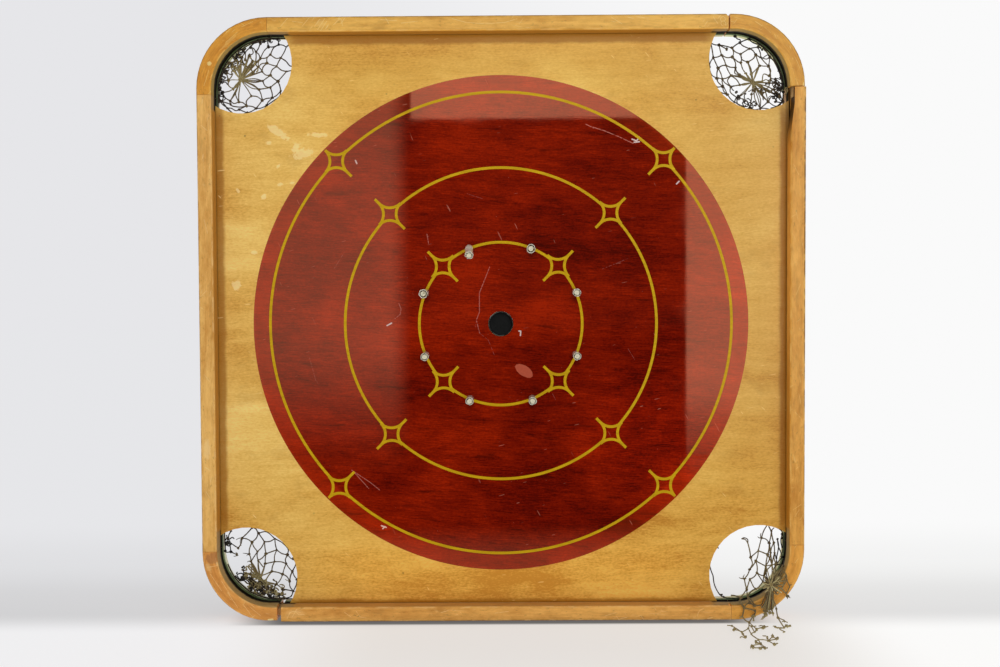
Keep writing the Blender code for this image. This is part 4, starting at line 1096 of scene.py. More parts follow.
class Twine:
    """Collects swept cords and knots into one mesh, with a lay coordinate and a shade for each point."""

    def __init__(self, seed):
        self.v, self.f, self.uv, self.shade = [], [], [], []
        self.rng = np.random.default_rng(seed)

    def cord(self, pts, radius, shade, sides=6, taper=0.0):
        pts = np.asarray(pts, float)
        keep = [0]
        for i in range(1, len(pts)):
            if np.linalg.norm(pts[i] - pts[keep[-1]]) > 1e-5:
                keep.append(i)
        pts = pts[keep]
        n = len(pts)
        if n < 2:
            return
        tang = np.gradient(pts, axis=0)
        tang /= np.linalg.norm(tang, axis=1)[:, None] + 1e-12
        ref = np.array([0.0, 1.0, 0.0]) if abs(tang[0][1]) < 0.8 else np.array([1.0, 0.0, 0.0])
        u = np.cross(tang[0], ref)
        u /= np.linalg.norm(u)
        along = np.r_[0, np.cumsum(np.linalg.norm(np.diff(pts, axis=0), axis=1))]
        base = len(self.v)
        wob = self.rng.normal(0, 0.06, n)
        for i in range(n):
            u = u - tang[i] * np.dot(u, tang[i])
            u /= np.linalg.norm(u) + 1e-12
            w = np.cross(tang[i], u)
            r = radius * (1 + wob[i])
            if taper and i >= n - 2:
                r *= (1 - taper) if i == n - 1 else (1 - taper / 3)
            for j in range(sides):
                a = 2 * pi * j / sides
                self.v.append(pts[i] + (u * cos(a) + w * sin(a)) * r)
                self.shade.append(shade(pts[i]) if callable(shade) else shade)
        for i in range(n - 1):
            for j in range(sides):
                k = (j + 1) % sides
                self.f.append((base + i * sides + j, base + i * sides + k, base + (i + 1) * sides + k, base + (i + 1) * sides + j))
                self.uv.append(((j / sides, along[i]), ((j + 1) / sides, along[i]), ((j + 1) / sides, along[i + 1]), (j / sides, along[i + 1])))
        self.f.append(tuple(base + j for j in reversed(range(sides))))
        self.uv.append(tuple((j / sides, along[0]) for j in reversed(range(sides))))
        end = base + (n - 1) * sides
        self.f.append(tuple(end + j for j in range(sides)))
        self.uv.append(tuple((j / sides, along[-1]) for j in range(sides)))

    def knot(self, p, size, shade, rough=0.22):
        """A lump of turns: an uneven ball with the lay winding round it."""
        p = np.asarray(p, float)
        m, n = 5, 8
        base = len(self.v)
        sh = shade(p) if callable(shade) else shade
        stretch = 1 + self.rng.normal(0, 0.14, 3)
        axis = self.rng.normal(size=3)
        axis /= np.linalg.norm(axis)
        b = np.cross(axis, [0.31, 0.77, 0.55])
        b /= np.linalg.norm(b)
        c = np.cross(axis, b)
        rows = [[p + axis * size * stretch]]
        for i in range(1, m):
            th = pi * i / m
            row = []
            for j in range(n):
                ph = 2 * pi * j / n
                d = axis * cos(th) + (b * cos(ph) + c * sin(ph)) * sin(th)
                row.append(p + d * stretch * size * (1 + self.rng.normal(0, rough) * 0.6))
            rows.append(row)
        rows.append([p - axis * size * stretch])
        for row in rows:
            for q in row:
                self.v.append(q)
                self.shade.append(sh)
        start = [base]
        for row in rows[:-1]:
            start.append(start[-1] + len(row))
        for j in range(n):
            k = (j + 1) % n
            self.f.append((start[0], start[1] + j, start[1] + k))
            self.uv.append(((0.5, 0), (j / n, 0.001), ((j + 1) / n, 0.001)))
            for i in range(1, m - 1):
                self.f.append((start[i] + j, start[i + 1] + j, start[i + 1] + k, start[i] + k))
                a0, a1 = 0.0012 * i, 0.0012 * (i + 1)
                self.uv.append(((j / n, a0), (j / n, a1), ((j + 1) / n, a1), ((j + 1) / n, a0)))
            self.f.append((start[m - 1] + k, start[m - 1] + j, start[m]))
            self.uv.append((((j + 1) / n, 0.006), (j / n, 0.006), (0.5, 0.007)))

    def frays(self, p, direction, count, length, shade, spread=0.8, radius=TWINE_R * 0.62):
        """Loose twine ends that fan out from a broken cord."""
        p, direction = np.asarray(p, float), np.asarray(direction, float)
        direction = direction / (np.linalg.norm(direction) + 1e-9)
        for _ in range(count):
            d = direction + self.rng.normal(0, spread, 3) * (1, 0.5, 1)
            d /= np.linalg.norm(d)
            side = self.rng.normal(0, 0.35, 3) * (1, 0.5, 1)
            ln = length * self.rng.uniform(0.5, 1.2)
            line = [p, p + d * ln * 0.45, p + (d + side * 0.6) * ln * 0.8, p + (d + side * 1.3) * ln]
            self.cord(catmull(line, 2), radius, shade, 5, taper=0.5)

    def build(self, name):
        mesh = bpy.data.meshes.new(name)
        mesh.from_pydata([tuple(float(a) for a in v) for v in self.v], [], self.f)
        uv = mesh.uv_layers.new(name="lay")
        flat = np.array([c for face in self.uv for pair in face for c in pair], np.float32)
        uv.data.foreach_set("uv", flat)
        at_ = mesh.attributes.new("shade", "FLOAT", "POINT")
        at_.data.foreach_set("value", np.array(self.shade, np.float32))
        mesh.update()
        ob = new_object(name, mesh, mat_twine, 180)
        return ob


WALL = np.array([mouth(radians(a), POCKET_R + 0.0030, 0.0014) for a in range(361)])


def rim_share(lx, lz, hub):
    """How far a point lies from the gather towards the rim, 0 to 1, and that way's length. Works in the
    corner's own mirrored frame, with the outer corner towards +X and +Z."""
    d = hypot(lx - hub[0], lz - hub[1])
    if d < 1e-6:
        return 0.0, 1.0
    ux, uz = (lx - hub[0]) / d, (lz - hub[1]) / d
    near, far = 0.0, 0.12
    for _ in range(26):
        m = (near + far) / 2
        px, pz = hub[0] + ux * m - MOUTH_C, hub[1] + uz * m - MOUTH_C
        if hypot(px, pz) < np.interp(np.degrees(atan2(pz, px)) % 360, np.arange(361), WALL):
            near = m
        else:
            far = m
    return min(1.0, d / near), near


class Net:
    """A knotted bag laid out knot by knot; points are in millimetres in the board's plane."""

    def __init__(self, name, sx, sz, hub, seed, slack=0.0):
        self.name, self.sx, self.sz, self.hub = name, sx, sz, hub
        self.lhub = (sx * hub[0], sz * hub[2])
        self.tw = Twine(seed)
        self.rng = self.tw.rng
        self.slack = slack                      # how far the lower cords stay clear of a lifted rail
        self.knots = {}

    def depth(self, x, z):
        f, _ = rim_share(self.sx * x, self.sz * z, self.lhub)
        return HEAD_Y + (self.hub[1] - 0.0035 - HEAD_Y) * (1 - f) ** 0.8

    def inside(self, p, room=0.0006):
        """Keeps a point within the pocket and behind the panel's face."""
        lx, lz = self.sx * p[0], self.sz * p[2]
        dx, dz = lx - MOUTH_C, lz - MOUTH_C
        r = hypot(dx, dz)
        a = np.degrees(atan2(dz, dx)) % 360
        lim = np.interp(a, np.arange(361), WALL) - room - self.slack
        if r > lim:
            lx, lz = MOUTH_C + dx * lim / r, MOUTH_C + dz * lim / r
        return np.array([self.sx * lx, min(max(p[1], 0.0040), 0.0332), self.sz * lz])

    def point(self, q, lift=0.0):
        if isinstance(q, str):
            return self.knots[q]
        x, z = q[0] / 1000, q[1] / 1000
        return self.inside(np.array([x, self.depth(x, z) + lift, z]))

    def shade(self, q):
        """Painted shade: dark by the rails and the panel's edge; paler and greener at the gather."""
        x, z = q[0], q[2] - HALF
        f, _ = rim_share(self.sx * x, self.sz * z, self.lhub)
        to_hub = hypot(x - self.hub[0], z - self.hub[2])
        lx, lz = self.sx * x, self.sz * z
        outer = min(1.0, max(0.0, (max(lx, lz) - 0.322) / 0.010))
        v = 0.33 + 0.48 * np.exp(-(to_hub / 0.016) ** 2) - 0.16 * max(0.0, f - 0.6) / 0.4 - 0.30 * outer
        return float(np.clip(v, 0.0, 1.0))

    def up(self, pts):
        return np.asarray(pts, float) + np.array([0, 0, HALF])

    def bars(self, table, lines, knot=0.00168):
        for k, (x, z) in table.items():
            p = self.inside(np.array([x / 1000, self.depth(x / 1000, z / 1000) + self.rng.normal(0, 0.0006), z / 1000]))
            self.knots[k] = p
        for line in lines:
            pts = [self.point(q, self.rng.normal(0, 0.0005)) for q in line]
            # a cord that runs off behind the panel goes on to the rim
            for end in (0, -1):
                if not isinstance(line[end], str):
                    lx, lz = self.sx * pts[end][0], self.sz * pts[end][2]
                    f, room = rim_share(lx, lz, self.lhub)
                    if f > 0.90 and (lx < 0.300 or lz < 0.300):
                        g = 1 / max(f, 1e-3)
                        q = np.array([self.hub[0] + (pts[end][0] - self.hub[0]) * g, HEAD_Y, self.hub[2] + (pts[end][2] - self.hub[2]) * g])
                        pts = [q] + pts if end == 0 else pts + [q]
            if len(pts) == 2:
                a, b = pts
                side = np.array([-(b - a)[2], 0, (b - a)[0]])
                pts = [a, self.inside((a + b) / 2 + side * self.rng.normal(0, 0.05)), b]
            self.tw.cord(self.up(catmull(pts, 5)), TWINE_R * self.rng.uniform(1.00, 1.20), self.shade)
        for k, p in self.knots.items():
            self.tw.knot(self.up(p), knot * self.rng.uniform(0.85, 1.25), self.shade)

    def tails(self, names, double=0.7, bow=0.06):
        """Taut cords from knots to the gather."""
        c = np.array(self.hub)
        for nm in names:
            a = self.point(nm)
            for k in range(1 + (self.rng.random() < double)):
                d = c - a
                side = np.array([-d[2], 0, d[0]]) * self.rng.normal(0, bow)
                pts = [a, a + d * 0.35 + side, a + d * 0.75 + side * 0.5 + np.array([0, self.rng.normal(0, 0.0008), 0]), c]
                self.tw.cord(self.up([self.inside(q) for q in catmull(pts, 5)]), TWINE_R * self.rng.uniform(0.9, 1.1), self.shade)

    def fray(self, at_, towards, count, length, shade=None, spread=0.55):
        p = self.point(at_)
        d = np.array([towards[0], 0, towards[1]], float)
        self.tw.frays(self.up(p), d, count, length / 1000, shade or self.shade, spread, TWINE_R * 0.75)

    def tangle(self, path, spread, count, shade, steps=6, pace=2.3, radius=1.0, knots=0.35, depth=(0.006, 0.030)):
        """Curled, matted cords strewn along a path."""
        path = np.array(path, float) / 1000
        seg = np.r_[0, np.cumsum(np.linalg.norm(np.diff(path, axis=0), axis=1))]
        for _ in range(count):
            t = self.rng.uniform(0, seg[-1])
            x, z = np.interp(t, seg, path[:, 0]), np.interp(t, seg, path[:, 1])
            p = np.array([x, self.rng.uniform(*depth), z]) + self.rng.normal(0, spread / 1000, 3) * (1, 0, 1)
            a, turn_ = self.rng.uniform(0, 2 * pi), self.rng.choice([-1, 1]) * self.rng.uniform(0.3, 1.0)
            pts = [p]
            for k in range(steps):
                turn_ += self.rng.normal(0, 0.60)
                a += turn_
                p = p + np.array([cos(a), self.rng.normal(0, 0.35), sin(a)]) * pace / 1000 * self.rng.uniform(0.7, 1.2)
                pts.append(p)
            sh = shade if not isinstance(shade, tuple) else float(self.rng.uniform(*shade))
            line = [self.inside(q, 0.0012) for q in catmull(pts, 4)]
            self.tw.cord(self.up(line), TWINE_R * radius * self.rng.uniform(0.85, 1.15), sh)
            if self.rng.random() < knots:
                self.tw.knot(self.up(line[-1]), 0.0013, sh)

    def fingers(self, ends, shade=0.78, width=1.35):
        """Stout cords that leave the gather and hook over at their tips."""
        c = np.array(self.hub)
        for x, z, curl in ends:
            e = self.point((x, z))
            d = e - c
            n = np.array([-d[2], 0, d[0]])
            n /= np.linalg.norm(n) + 1e-9
            ln = np.linalg.norm(d)
            pts = [c, c + d * 0.4 + n * 0.0009 * curl, c + d * 0.85 + n * 0.0004 * curl, e, e + n * 0.0017 * curl + d / ln * 0.0004,
                   e + n * 0.0030 * curl - d / ln * 0.0010, e + n * 0.0031 * curl - d / ln * 0.0032]
            self.tw.cord(self.up([self.inside(q) for q in catmull(pts, 4)]), TWINE_R * width, shade)

    def rim(self, a0=0, a1=360, shade=0.10, radius=0.00072):
        """The head cord round the pocket, behind the panel's edge and along the rails."""
        pts = []
        n = max(6, int((a1 - a0) / 4))
        for k in range(n + 1):
            th = radians(a0 + (a1 - a0) * k / n)
            d = np.interp(np.degrees(th) % 360, np.arange(361), WALL) - self.slack - 0.0002
            pts.append([self.sx * (MOUTH_C + d * cos(th)), HEAD_Y + 0.0006 * sin(9 * th), self.sz * (MOUTH_C + d * sin(th)) + HALF])
        self.tw.cord(pts, radius, shade)

    def gather(self, size=0.0023):
        c = np.array(self.hub)
        self.tw.knot(self.up(c + [0, 0.0006, 0]), size, 0.75, 0.12)
        for k in range(7):
            a = 2 * pi * k / 7 + self.rng.uniform(-0.3, 0.3)
            loop = [c + np.array([0.0019 * cos(a + t) * (1 + 0.2 * t), -0.0006 + 0.0012 * sin(2 * t + k), 0.0019 * sin(a + t)]) for t in np.linspace(0, 2.6, 8)]
            self.tw.cord(self.up(loop), TWINE_R, 0.8)

    def done(self, hides=()):
        ob = self.tw.build(self.name)
        v = "top" if self.sz > 0 else "bottom"
        h = "left" if self.sx < 0 else "right"
        ride(ob, hides=[f"pocket_net_{v}_{h}", f"head_cord_{v}_{h}", f"gather_knot_{v}_{h}", *hides])
        return ob


TL_KNOTS = {
    "a": (-261.5, 339.5), "b": (-272.5, 339), "k1": (-264, 330), "k2": (-262, 314.5), "k3": (-267.5, 305), "k4": (-275, 319),
    "k5": (-280, 309.5), "k6": (-255, 298), "k7": (-266, 287), "k8": (-275.5, 294.5), "k9": (-286.5, 300),
    "k10": (-285.5, 288.5), "k11": (-275.5, 280), "k12": (-290, 278.5), "k13": (-299, 270.5), "k14": (-285, 264.5),
    "k15": (-272.5, 267), "k16": (-262, 275), "k18": (-304, 258), "k19": (-292, 254.5), "k20": (-279, 257.5),
    "k21": (-313.5, 263), "k22": (-312.5, 253.5), "k23": (-302, 249), "k24": (-323.5, 264), "k25": (-323, 260),
    "k26": (-332, 273.5), "k27": (-332.5, 263), "k28": (-326, 254.5), "k29": (-335, 282), "k30": (-321.5, 279.5),
    "k31": (-326, 289), "k32": (-287.5, 315), "k33": (-292, 322), "k34": (-285.5, 331.5), "k35": (-276.5, 327.5),
    "k36": (-287.5, 336), "k37": (-297.5, 327), "k38": (-306, 323), "k39": (-311.5, 321.5), "k40": (-305.5, 313.5),
    "k41": (-309, 315.5), "k42": (-314.5, 311.5), "k43": (-300, 318), "k44": (-294, 310), "k45": (-290.5, 305.5),
    "k46": (-319.5, 300.5), "k47": (-323.5, 308), "k48": (-329.5, 300.5), "k49": (-320.5, 305.5), "k50": (-297.5, 299),
    "k51": (-304, 306), "k52": (-297.5, 312), "k53": (-313, 305.5),}
TL_BARS = [
    ("a", "k1"), ("k1", (-258.5, 329), (-254.5, 327)), ((-254.5, 327), (-257.5, 321.5), "k2"),
    ("k2", (-256, 310.5), (-250, 304)), ("k2", (-265, 309.5), "k3"), ("k3", (-261.5, 300), "k6"), ("k6", (-250.5, 298.5)),
    ("k6", (-260.5, 292.5), "k7"), ("k7", (-270.5, 290), "k8"), ("k8", (-273.5, 301), "k3"), ("k3", (-274, 307), "k5"),
    ("k5", (-279.5, 315.5), "k4"), ("k4", (-268.5, 314.5), "k2"), ("k4", (-270.5, 326), "k1"), ("k1", (-270.5, 327.5), "k35"),
    ("k35", (-276.5, 333), "b"), ("k35", (-282, 323), "k32"), ("k34", (-287.5, 334), "k36"), ("k34", (-278, 333.5), "b"),
    ("k34", (-288.5, 325.5), "k33"), ("k36", (-282, 338), "b"), ("b", (-267, 339), "a"), ("k36", (-295, 329.5), "k37"),
    ("k36", (-296, 330.5), (-305.5, 325.5), "k38"), ("k37", (-294, 325.5), "k33"), ("k38", (-304.5, 318.5), "k40"),
    ("k38", (-308.5, 324.5), "k39"), ("k39", (-313, 322), (-314, 324.5), (-311, 325.5)),
    ("k39", (-308, 319.5), (-316.5, 315), (-317, 311), "k47"), ("k33", (-292.5, 316), "k44"), ("k33", (-289, 319.5), "k32"),
    ("k32", (-290.5, 310.5), "k45"), ("k32", (-281, 315.5), "k4"), ("k45", (-286, 309), "k5"), ("k45", (-287.5, 302.5), "k9"),
    ("k9", (-284.5, 305), "k5"), ("k9", (-281.5, 295.5), "k8"), ("k8", (-282.5, 290), "k10"), ("k10", (-282, 282), "k11"),
    ("k7", (-271.5, 283), "k11"), ("k7", (-263.5, 281), "k16"), ("k11", (-282.5, 279), "k12"), ("k12", (-287, 272), "k14"),
    ("k11", (-273, 272.5), "k15"), ("k15", (-280, 266.5), "k14"), ("k13", (-292, 269.5), "k14"), ("k14", (-289, 258.5), "k19"),
    ("k15", (-277.5, 261.5), "k20"), ("k16", (-267, 270), "k15"), ("k16", (-263.5, 268), (-272.5, 262), "k20"),
    ("k20", (-286, 254.5), "k19"), ("k19", (-297, 251), "k23"), ("k13", (-304.5, 264.5), "k18"), ("k18", (-297, 257), "k19"),
    ("k18", (-308.5, 255.5), "k22"), ("k18", (-308.5, 262), "k21"), ("k21", (-319, 261), "k24"), ("k24", (-329.5, 268), "k26"),
    ("k26", (-325.5, 276), "k30"), ("k30", (-326, 283), "k31"), ("k31", (-327, 294.5), (-328, 296.5), "k48"),
    ("k31", (-322, 295), (-322, 299.5), "k46"), ("k26", (-334.5, 279), "k29"), ("k29", (-332, 287), "k31"),
    ("k26", (-331.5, 267.5), "k27"), ("k29", (-338, 277), (-338.5, 269)), ("k27", (-335.5, 266.5), (-338, 269)),
    ("k27", (-329, 258), "k28"), ((-338.5, 266), (-333, 260.5), (-327, 255.5), (-320, 249), (-315.5, 246)),
    ("k28", (-321.5, 250), (-315, 246)), ("k27", (-326, 261), "k25"), ("k25", (-320, 257.5), (-311, 256.5), "k18"),
    ("k28", (-322, 255), (-316.5, 252), "k22"), ("k22", (-307, 251), "k23"), ("k23", (-309, 247), (-314, 246)),
    ("k20", (-283.5, 252), (-296, 247.5), "k23"), ("k24", "k25"), ("k37", (-301.5, 324), (-305.5, 320), "k41"),
    ("k43", (-295.5, 320.5), (-295.5, 324.5), "k37"), ("k40", (-303.5, 312), "k43"), ("k41", (-312, 311.5), "k42"),
    ("k42", (-320, 309.5), "k47"), ("k47", (-326, 305.5), "k48"), ("k46", (-317, 305), "k49"), ("k49", (-322.5, 304), "k48"),
    ("k44", (-292.5, 306.5), "k45"), ("k43", (-298.5, 315), "k52"), ("k52", (-300.5, 309), "k51"), ("k51", (-308, 310), "k41"),
    ("k53", (-311, 310.5), "k42"), ("k50", (-294, 302.5), "k45"), ("k50", (-299.5, 303.5), "k52"),
    ("k44", (-297.5, 305.5), "k51"), ("k48", (-332.5, 296), (-331.5, 292)), ("k47", (-329, 304), (-332, 298.5)),
    ("k49", (-318, 311), "k42"), ("k53", (-317.5, 301), "k46"),]
TR_KNOTS = {
    "A": (250.5, 327.5), "B": (261, 326), "C": (270.5, 321.5), "D": (276.5, 322.5), "E": (285.5, 328.5), "F": (295.5, 332.5),
    "F2": (279, 335), "H": (254, 311), "I": (264.5, 314.5), "J": (278, 313), "K": (287.5, 316), "L": (297, 321.5),
    "M": (305, 314.5), "N": (311, 311.5), "O": (320.5, 310), "P": (308, 325.5), "Q": (306.5, 322.5), "R": (248.5, 299.5),
    "S": (260, 299), "T": (270, 303), "U": (282, 301), "V": (288.5, 306.5), "W": (296.5, 307), "X": (310.5, 302.5),
    "Y": (320, 301), "Z": (258.5, 286.5), "a": (265.5, 286.5), "b": (276.5, 291), "c": (287, 293), "d": (295.5, 295),
    "e": (302, 294), "f": (256.5, 275), "g": (265.5, 277), "h": (276, 277.5), "i": (288, 280.5), "j": (271, 267),
    "k": (283, 264), "l": (288.5, 253), "m": (297.5, 251), "n": (309.5, 250), "o": (320, 259), "p": (317, 275),
    "q": (314.5, 284.5), "r": (321.5, 290), "s": (328.5, 285.5), "t": (322.5, 282), "u": (325.5, 273.5), "v": (331.5, 274),
    "w": (330.5, 264.5), "x": (339.5, 266.5), "y": (338, 277), "z": (335.5, 258),}
TR_BARS = [
    ("A", "B"), ("B", (266, 323.5), "C"), ("B", (269, 324.5), "D"), ("D", (281, 326), "E"), ("E", (291, 330.5), "F"),
    ("F2", (282, 332.5), (285.5, 331), "E"), ("B", (262.5, 320.5), "I"), ("A", (252.5, 319), "H"), ("H", (259.5, 312), "I"),
    ("I", (271.5, 312), "J"), ("D", (279, 317.5), "J"), ("D", (281, 318.5), "K"), ("E", (289, 325), "L"),
    ("K", (291.5, 318.5), "L"), ("L", (301.5, 319.5), "M"), ("L", (302.5, 322.5), "Q"), ("M", (302.5, 310.5), "W"),
    ("K", (289.5, 310), "W"), ("M", "N"), ("M", (308, 307.5), "X"), ("N", (317, 309), "O"), ("N", (315, 306.5), "Y"),
    ("Q", (310, 316), "N"), ("Q", "P"), ("P", (315, 318.5), "O"), ("P", (302, 327), (297.5, 329.5)), ("J", (284.5, 308), "V"),
    ("K", (289, 311), "V"), ("J", (282, 306.5), "U"), ("V", (291, 299.5), "d"), ("U", (283.5, 296.5), "c"),
    ("T", (275.5, 301), "U"), ("I", (268, 308.5), "T"), ("T", (265, 302), "S"), ("H", (257, 305), "S"),
    ("H", (250.5, 306), "R"), ("A", (248, 314), "R"), ("S", (258.5, 293), "Z"), ("S", (263.5, 292.5), "a"),
    ("T", (273, 296.5), "b"), ("U", (281.5, 294), "c"), ("a", (271, 288), "b"), ("b", (283.5, 286.5), "i"),
    ("b", (272, 284.5), "h"), ("a", (268.5, 282), "h"), ("X", (306, 297.5), "e"), ("X", (316, 301.5), "Y"),
    ("Y", (323, 295.5), "r"), ("O", (320.5, 305), "Y"), ("Z", "a"), ("Z", (251.5, 290.5), "R"), ("Z", (259.5, 282), "g"),
    ("R", (251, 286), "f"), ("f", (262, 270), "j"), ("g", (266.5, 271.5), "j"), ("a", (265.5, 280.5), "j"),
    ("h", (282, 279), "i"), ("h", (275, 270.5), "k"), ("k", (290, 262.5), (295.5, 259.5), "m"), ("j", (276.5, 260), "l"),
    ("k", (282.5, 256), "l"), ("l", (292.5, 250), "m"), ("m", (303, 248.5), "n"), ("r", (315.5, 292.5), "q"),
    ("t", (319, 286), "q"), ("p", (321, 276.5), "t"), ("p", (322.5, 270), "u"), ("u", (328.5, 277), "s"),
    ("s", (324.5, 286.5), "r"), ("t", (323.5, 286.5), "r"), ("s", (333.5, 279.5), "y"), ("v", (330, 280), "s"), ("u", "v"),
    ("v", (329.5, 270), "w"), ("w", (333.5, 269.5), "y"), ("y", (340.5, 272), "x"), ("x", (337, 262), "z"),
    ("w", (333.5, 259.5), "z"), ("z", (328, 252.5), "o"), ("o", (324.5, 265), "w"), ("p", (319, 266.5), "o"),
    ("o", (315, 254.5), "n"), ("O", (325.5, 305.5), (331, 294), (336.5, 281.5), "y"),
    ((325, 309.5), (328.5, 301), (332.5, 290.5), (338, 279)), ("Y", (322, 295.5), (323, 289), "t"),
    ("z", (331, 252.5), (322, 250.5)), ("g", "f"), ("n", (313.5, 250.5), (320, 249)), ("x", (339, 271), (340.5, 275.5)),
    ("v", (334.5, 272.5), "y"), ("u", (322.5, 272), "p"), ("w", "u"), ("w", (328.5, 259), (334.5, 256.5)),]
BL_KNOTS = {
    "A": (-302, -248.5), "B": (-298.5, -248.5), "C": (-295, -255.5), "D": (-315.5, -262), "E": (-304, -267.5),
    "F": (-288.5, -267), "H": (-275, -262), "I": (-320.5, -274.5), "J": (-298, -279.5), "K": (-308.5, -283),
    "L": (-287.5, -282), "M": (-274, -277), "N": (-260.5, -282.5), "N2": (-258.5, -275), "O": (-253, -286.5),
    "P": (-277.5, -292), "Q": (-262.5, -293.5), "R": (-289.5, -295), "S": (-298, -291), "T": (-306.5, -292),
    "U": (-307.5, -307.5), "V": (-281.5, -304.5), "W": (-267.5, -307), "X": (-255, -303), "Y": (-275.5, -320),
    "Z": (-258.5, -315), "a": (-290, -317), "b": (-296, -311), "c": (-268, -325), "d": (-254, -326.5), "e": (-248.5, -312),
    "f": (-264, -335.5), "g": (-275.5, -329), "l1": (-327.5, -252.5), "l2": (-330.5, -265.5), "l3": (-337, -264.5),
    "l4": (-329, -278.5), "l5": (-322.5, -282.5), "l6": (-337.5, -274.5), "h": (-271.5, -332), "i": (-281.5, -333),
    "j": (-285.5, -325.5),}
BL_BARS = [
    ("A", (-308.5, -255.5), "D"), ("D", (-317, -269), "I"), ("D", (-309, -263.5), "E"), ("B", "C"),
    ("C", (-298.5, -262.5), "E"), ("C", (-292, -261), "F"), ("C", (-285, -254), "H"), ("E", (-307.5, -276), "K"),
    ("E", (-302, -273.5), "J"), ("F", (-293, -274.5), "J"), ("F", (-281.5, -266), "H"), ("F", (-288.5, -275), "L"),
    ("H", (-275, -270), "M"), ("H", (-266, -267.5), "N2"), ("L", (-281, -279.5), "M"), ("M", (-267.5, -281), "N"),
    ("M", (-277, -284.5), "P"), ("N", (-256, -286.5), "O"), ("N2", "N"), ("N", (-263.5, -288.5), "Q"),
    ("Q", (-259.5, -298), "X"), ("O", (-250, -292.5), "X"), ("P", (-269.5, -292), "Q"), ("P", (-283.5, -293.5), "R"),
    ("P", (-280.5, -298.5), "V"), ("Q", (-265.5, -300), "W"), ("W", (-274, -305), "V"), ("W", (-270.5, -314), "Y"),
    ("W", (-262, -309.5), "Z"), ("X", (-257.5, -308.5), "Z"), ("X", (-252, -308.5), "e"), ("Z", (-258, -321), "d"),
    ("R", (-289, -288.5), "L"), ("J", "S"), ("S", (-293, -288), "L"), ("J", (-302.5, -286), "T"), ("K", (-307, -287.5), "T"),
    ("T", (-306, -300), "U"), ("R", (-292, -302), "b"), ("b", (-288.5, -308), "V"), ("V", (-286.5, -311), "a"),
    ("a", (-284.5, -319.5), "Y"), ("Y", (-271, -322.5), "c"), ("c", (-261, -325.5), "d"), ("c", (-267, -331), "f"),
    ("d", (-257, -333), "f"), ("e", (-250, -319), "d"), ("l1", (-331, -258.5), "l2"), ("l2", (-326, -270.5), "I"), ("l2", "l3"),
    ("l2", (-329.5, -272.5), "l4"), ("l4", "l5"), ("l6", (-334.5, -278), "l4"), ("l3", (-338, -269.5), "l6"),
    ("R", (-291.5, -299.5), "S"), ("Y", (-278.5, -324.5), "g"), ("g", (-270.5, -330), "h"), ("h", (-269, -335), "f"),
    ("g", (-280, -331), "i"), ("j", (-280.5, -327.5), "g"), ("i", (-276.5, -335.5), (-271.5, -336), "f"),
    ("a", (-286, -322.5), "j"),]

net = Net("net_top_left", -1, 1, (-0.3140, 0.0290, 0.2920), 11)
net.bars(TL_KNOTS, TL_BARS)
net.rim()
net.gather()
net.tails(["k9", "k10", "k10", "k12", "k12", "k13", "k21", "k24", "k30", "k30", "k46", "k31"])
net.tails(["k50", "k50", "k45", "k44", "k51", "k51", "k52", "k43", "k53", "k53", "k41", "k42", "k46", "k32"], double=0.9, bow=0.03)
net.fingers([(-309, 316.5, 1), (-314.5, 312, 1), (-301, 318.5, -1), (-319.5, 305, 1), (-296, 312, -1), (-305, 308, 1), (-292.5, 304, -1)])
net.tangle([(-333, 290), (-327, 304), (-317, 318), (-306, 325)], 1.6, 20, (0.0, 0.22), steps=6, pace=1.9, depth=(0.005, 0.018))
net.tangle([(-330, 297), (-322, 303), (-314, 309)], 2.2, 12, (0.35, 0.75), steps=6, pace=1.7, depth=(0.008, 0.024))
net.tangle([(-336, 292), (-334, 276), (-335, 262)], 0.6, 12, (0.0, 0.10), steps=5, pace=2.4, depth=(0.005, 0.012))
net.tangle([(-290, 336), (-275, 338), (-262, 339)], 0.7, 9, (0.0, 0.10), steps=5, pace=2.4, depth=(0.005, 0.010))
net.done()

net = Net("net_top_right", 1, 1, (0.3050, 0.0300, 0.2850), 23)
net.bars(TR_KNOTS, TR_BARS)
net.rim(-200, 88)
net.rim(150, 162)
net.gather()
net.tails(["c", "c", "d", "d", "W", "W", "e", "e", "q", "q", "t", "p", "p", "i", "i", "b", "c", "k", "m", "n", "n", "o", "X", "u", "w"])
net.fray("F2", (-0.2, 1), 1, 3)
net.tangle([(326, 283), (332, 276), (334, 268), (326, 262)], 2.2, 22, (0.0, 0.30), steps=6, pace=2.0, depth=(0.005, 0.022))
net.tangle([(306, 274), (316, 268), (322, 264)], 2.4, 10, (0.2, 0.6), steps=5, pace=2.0, depth=(0.008, 0.026))
net.tangle([(277, 274), (285, 262), (297, 255), (310, 252)], 0.8, 14, (0.0, 0.16), steps=5, pace=2.0, depth=(0.005, 0.012))
net.tangle([(315, 330), (326, 318), (333, 302), (336, 286)], 0.5, 7, (0.0, 0.10), steps=5, pace=3.4, depth=(0.005, 0.012))
for k in range(3):                                    # loops caught in the sprung joint
    net.tw.cord([(0.3352 + 0.0012 * k * 0.3 + 0.0019 * cos(t), -0.0060 - 0.0016 * k, 0.2665 + 0.0030 * sin(t) + HALF + 0.0010 * k)
                 for t in np.linspace(-1.8, 2.4, 12)], TWINE_R * 0.8, 0.55)
net.done()

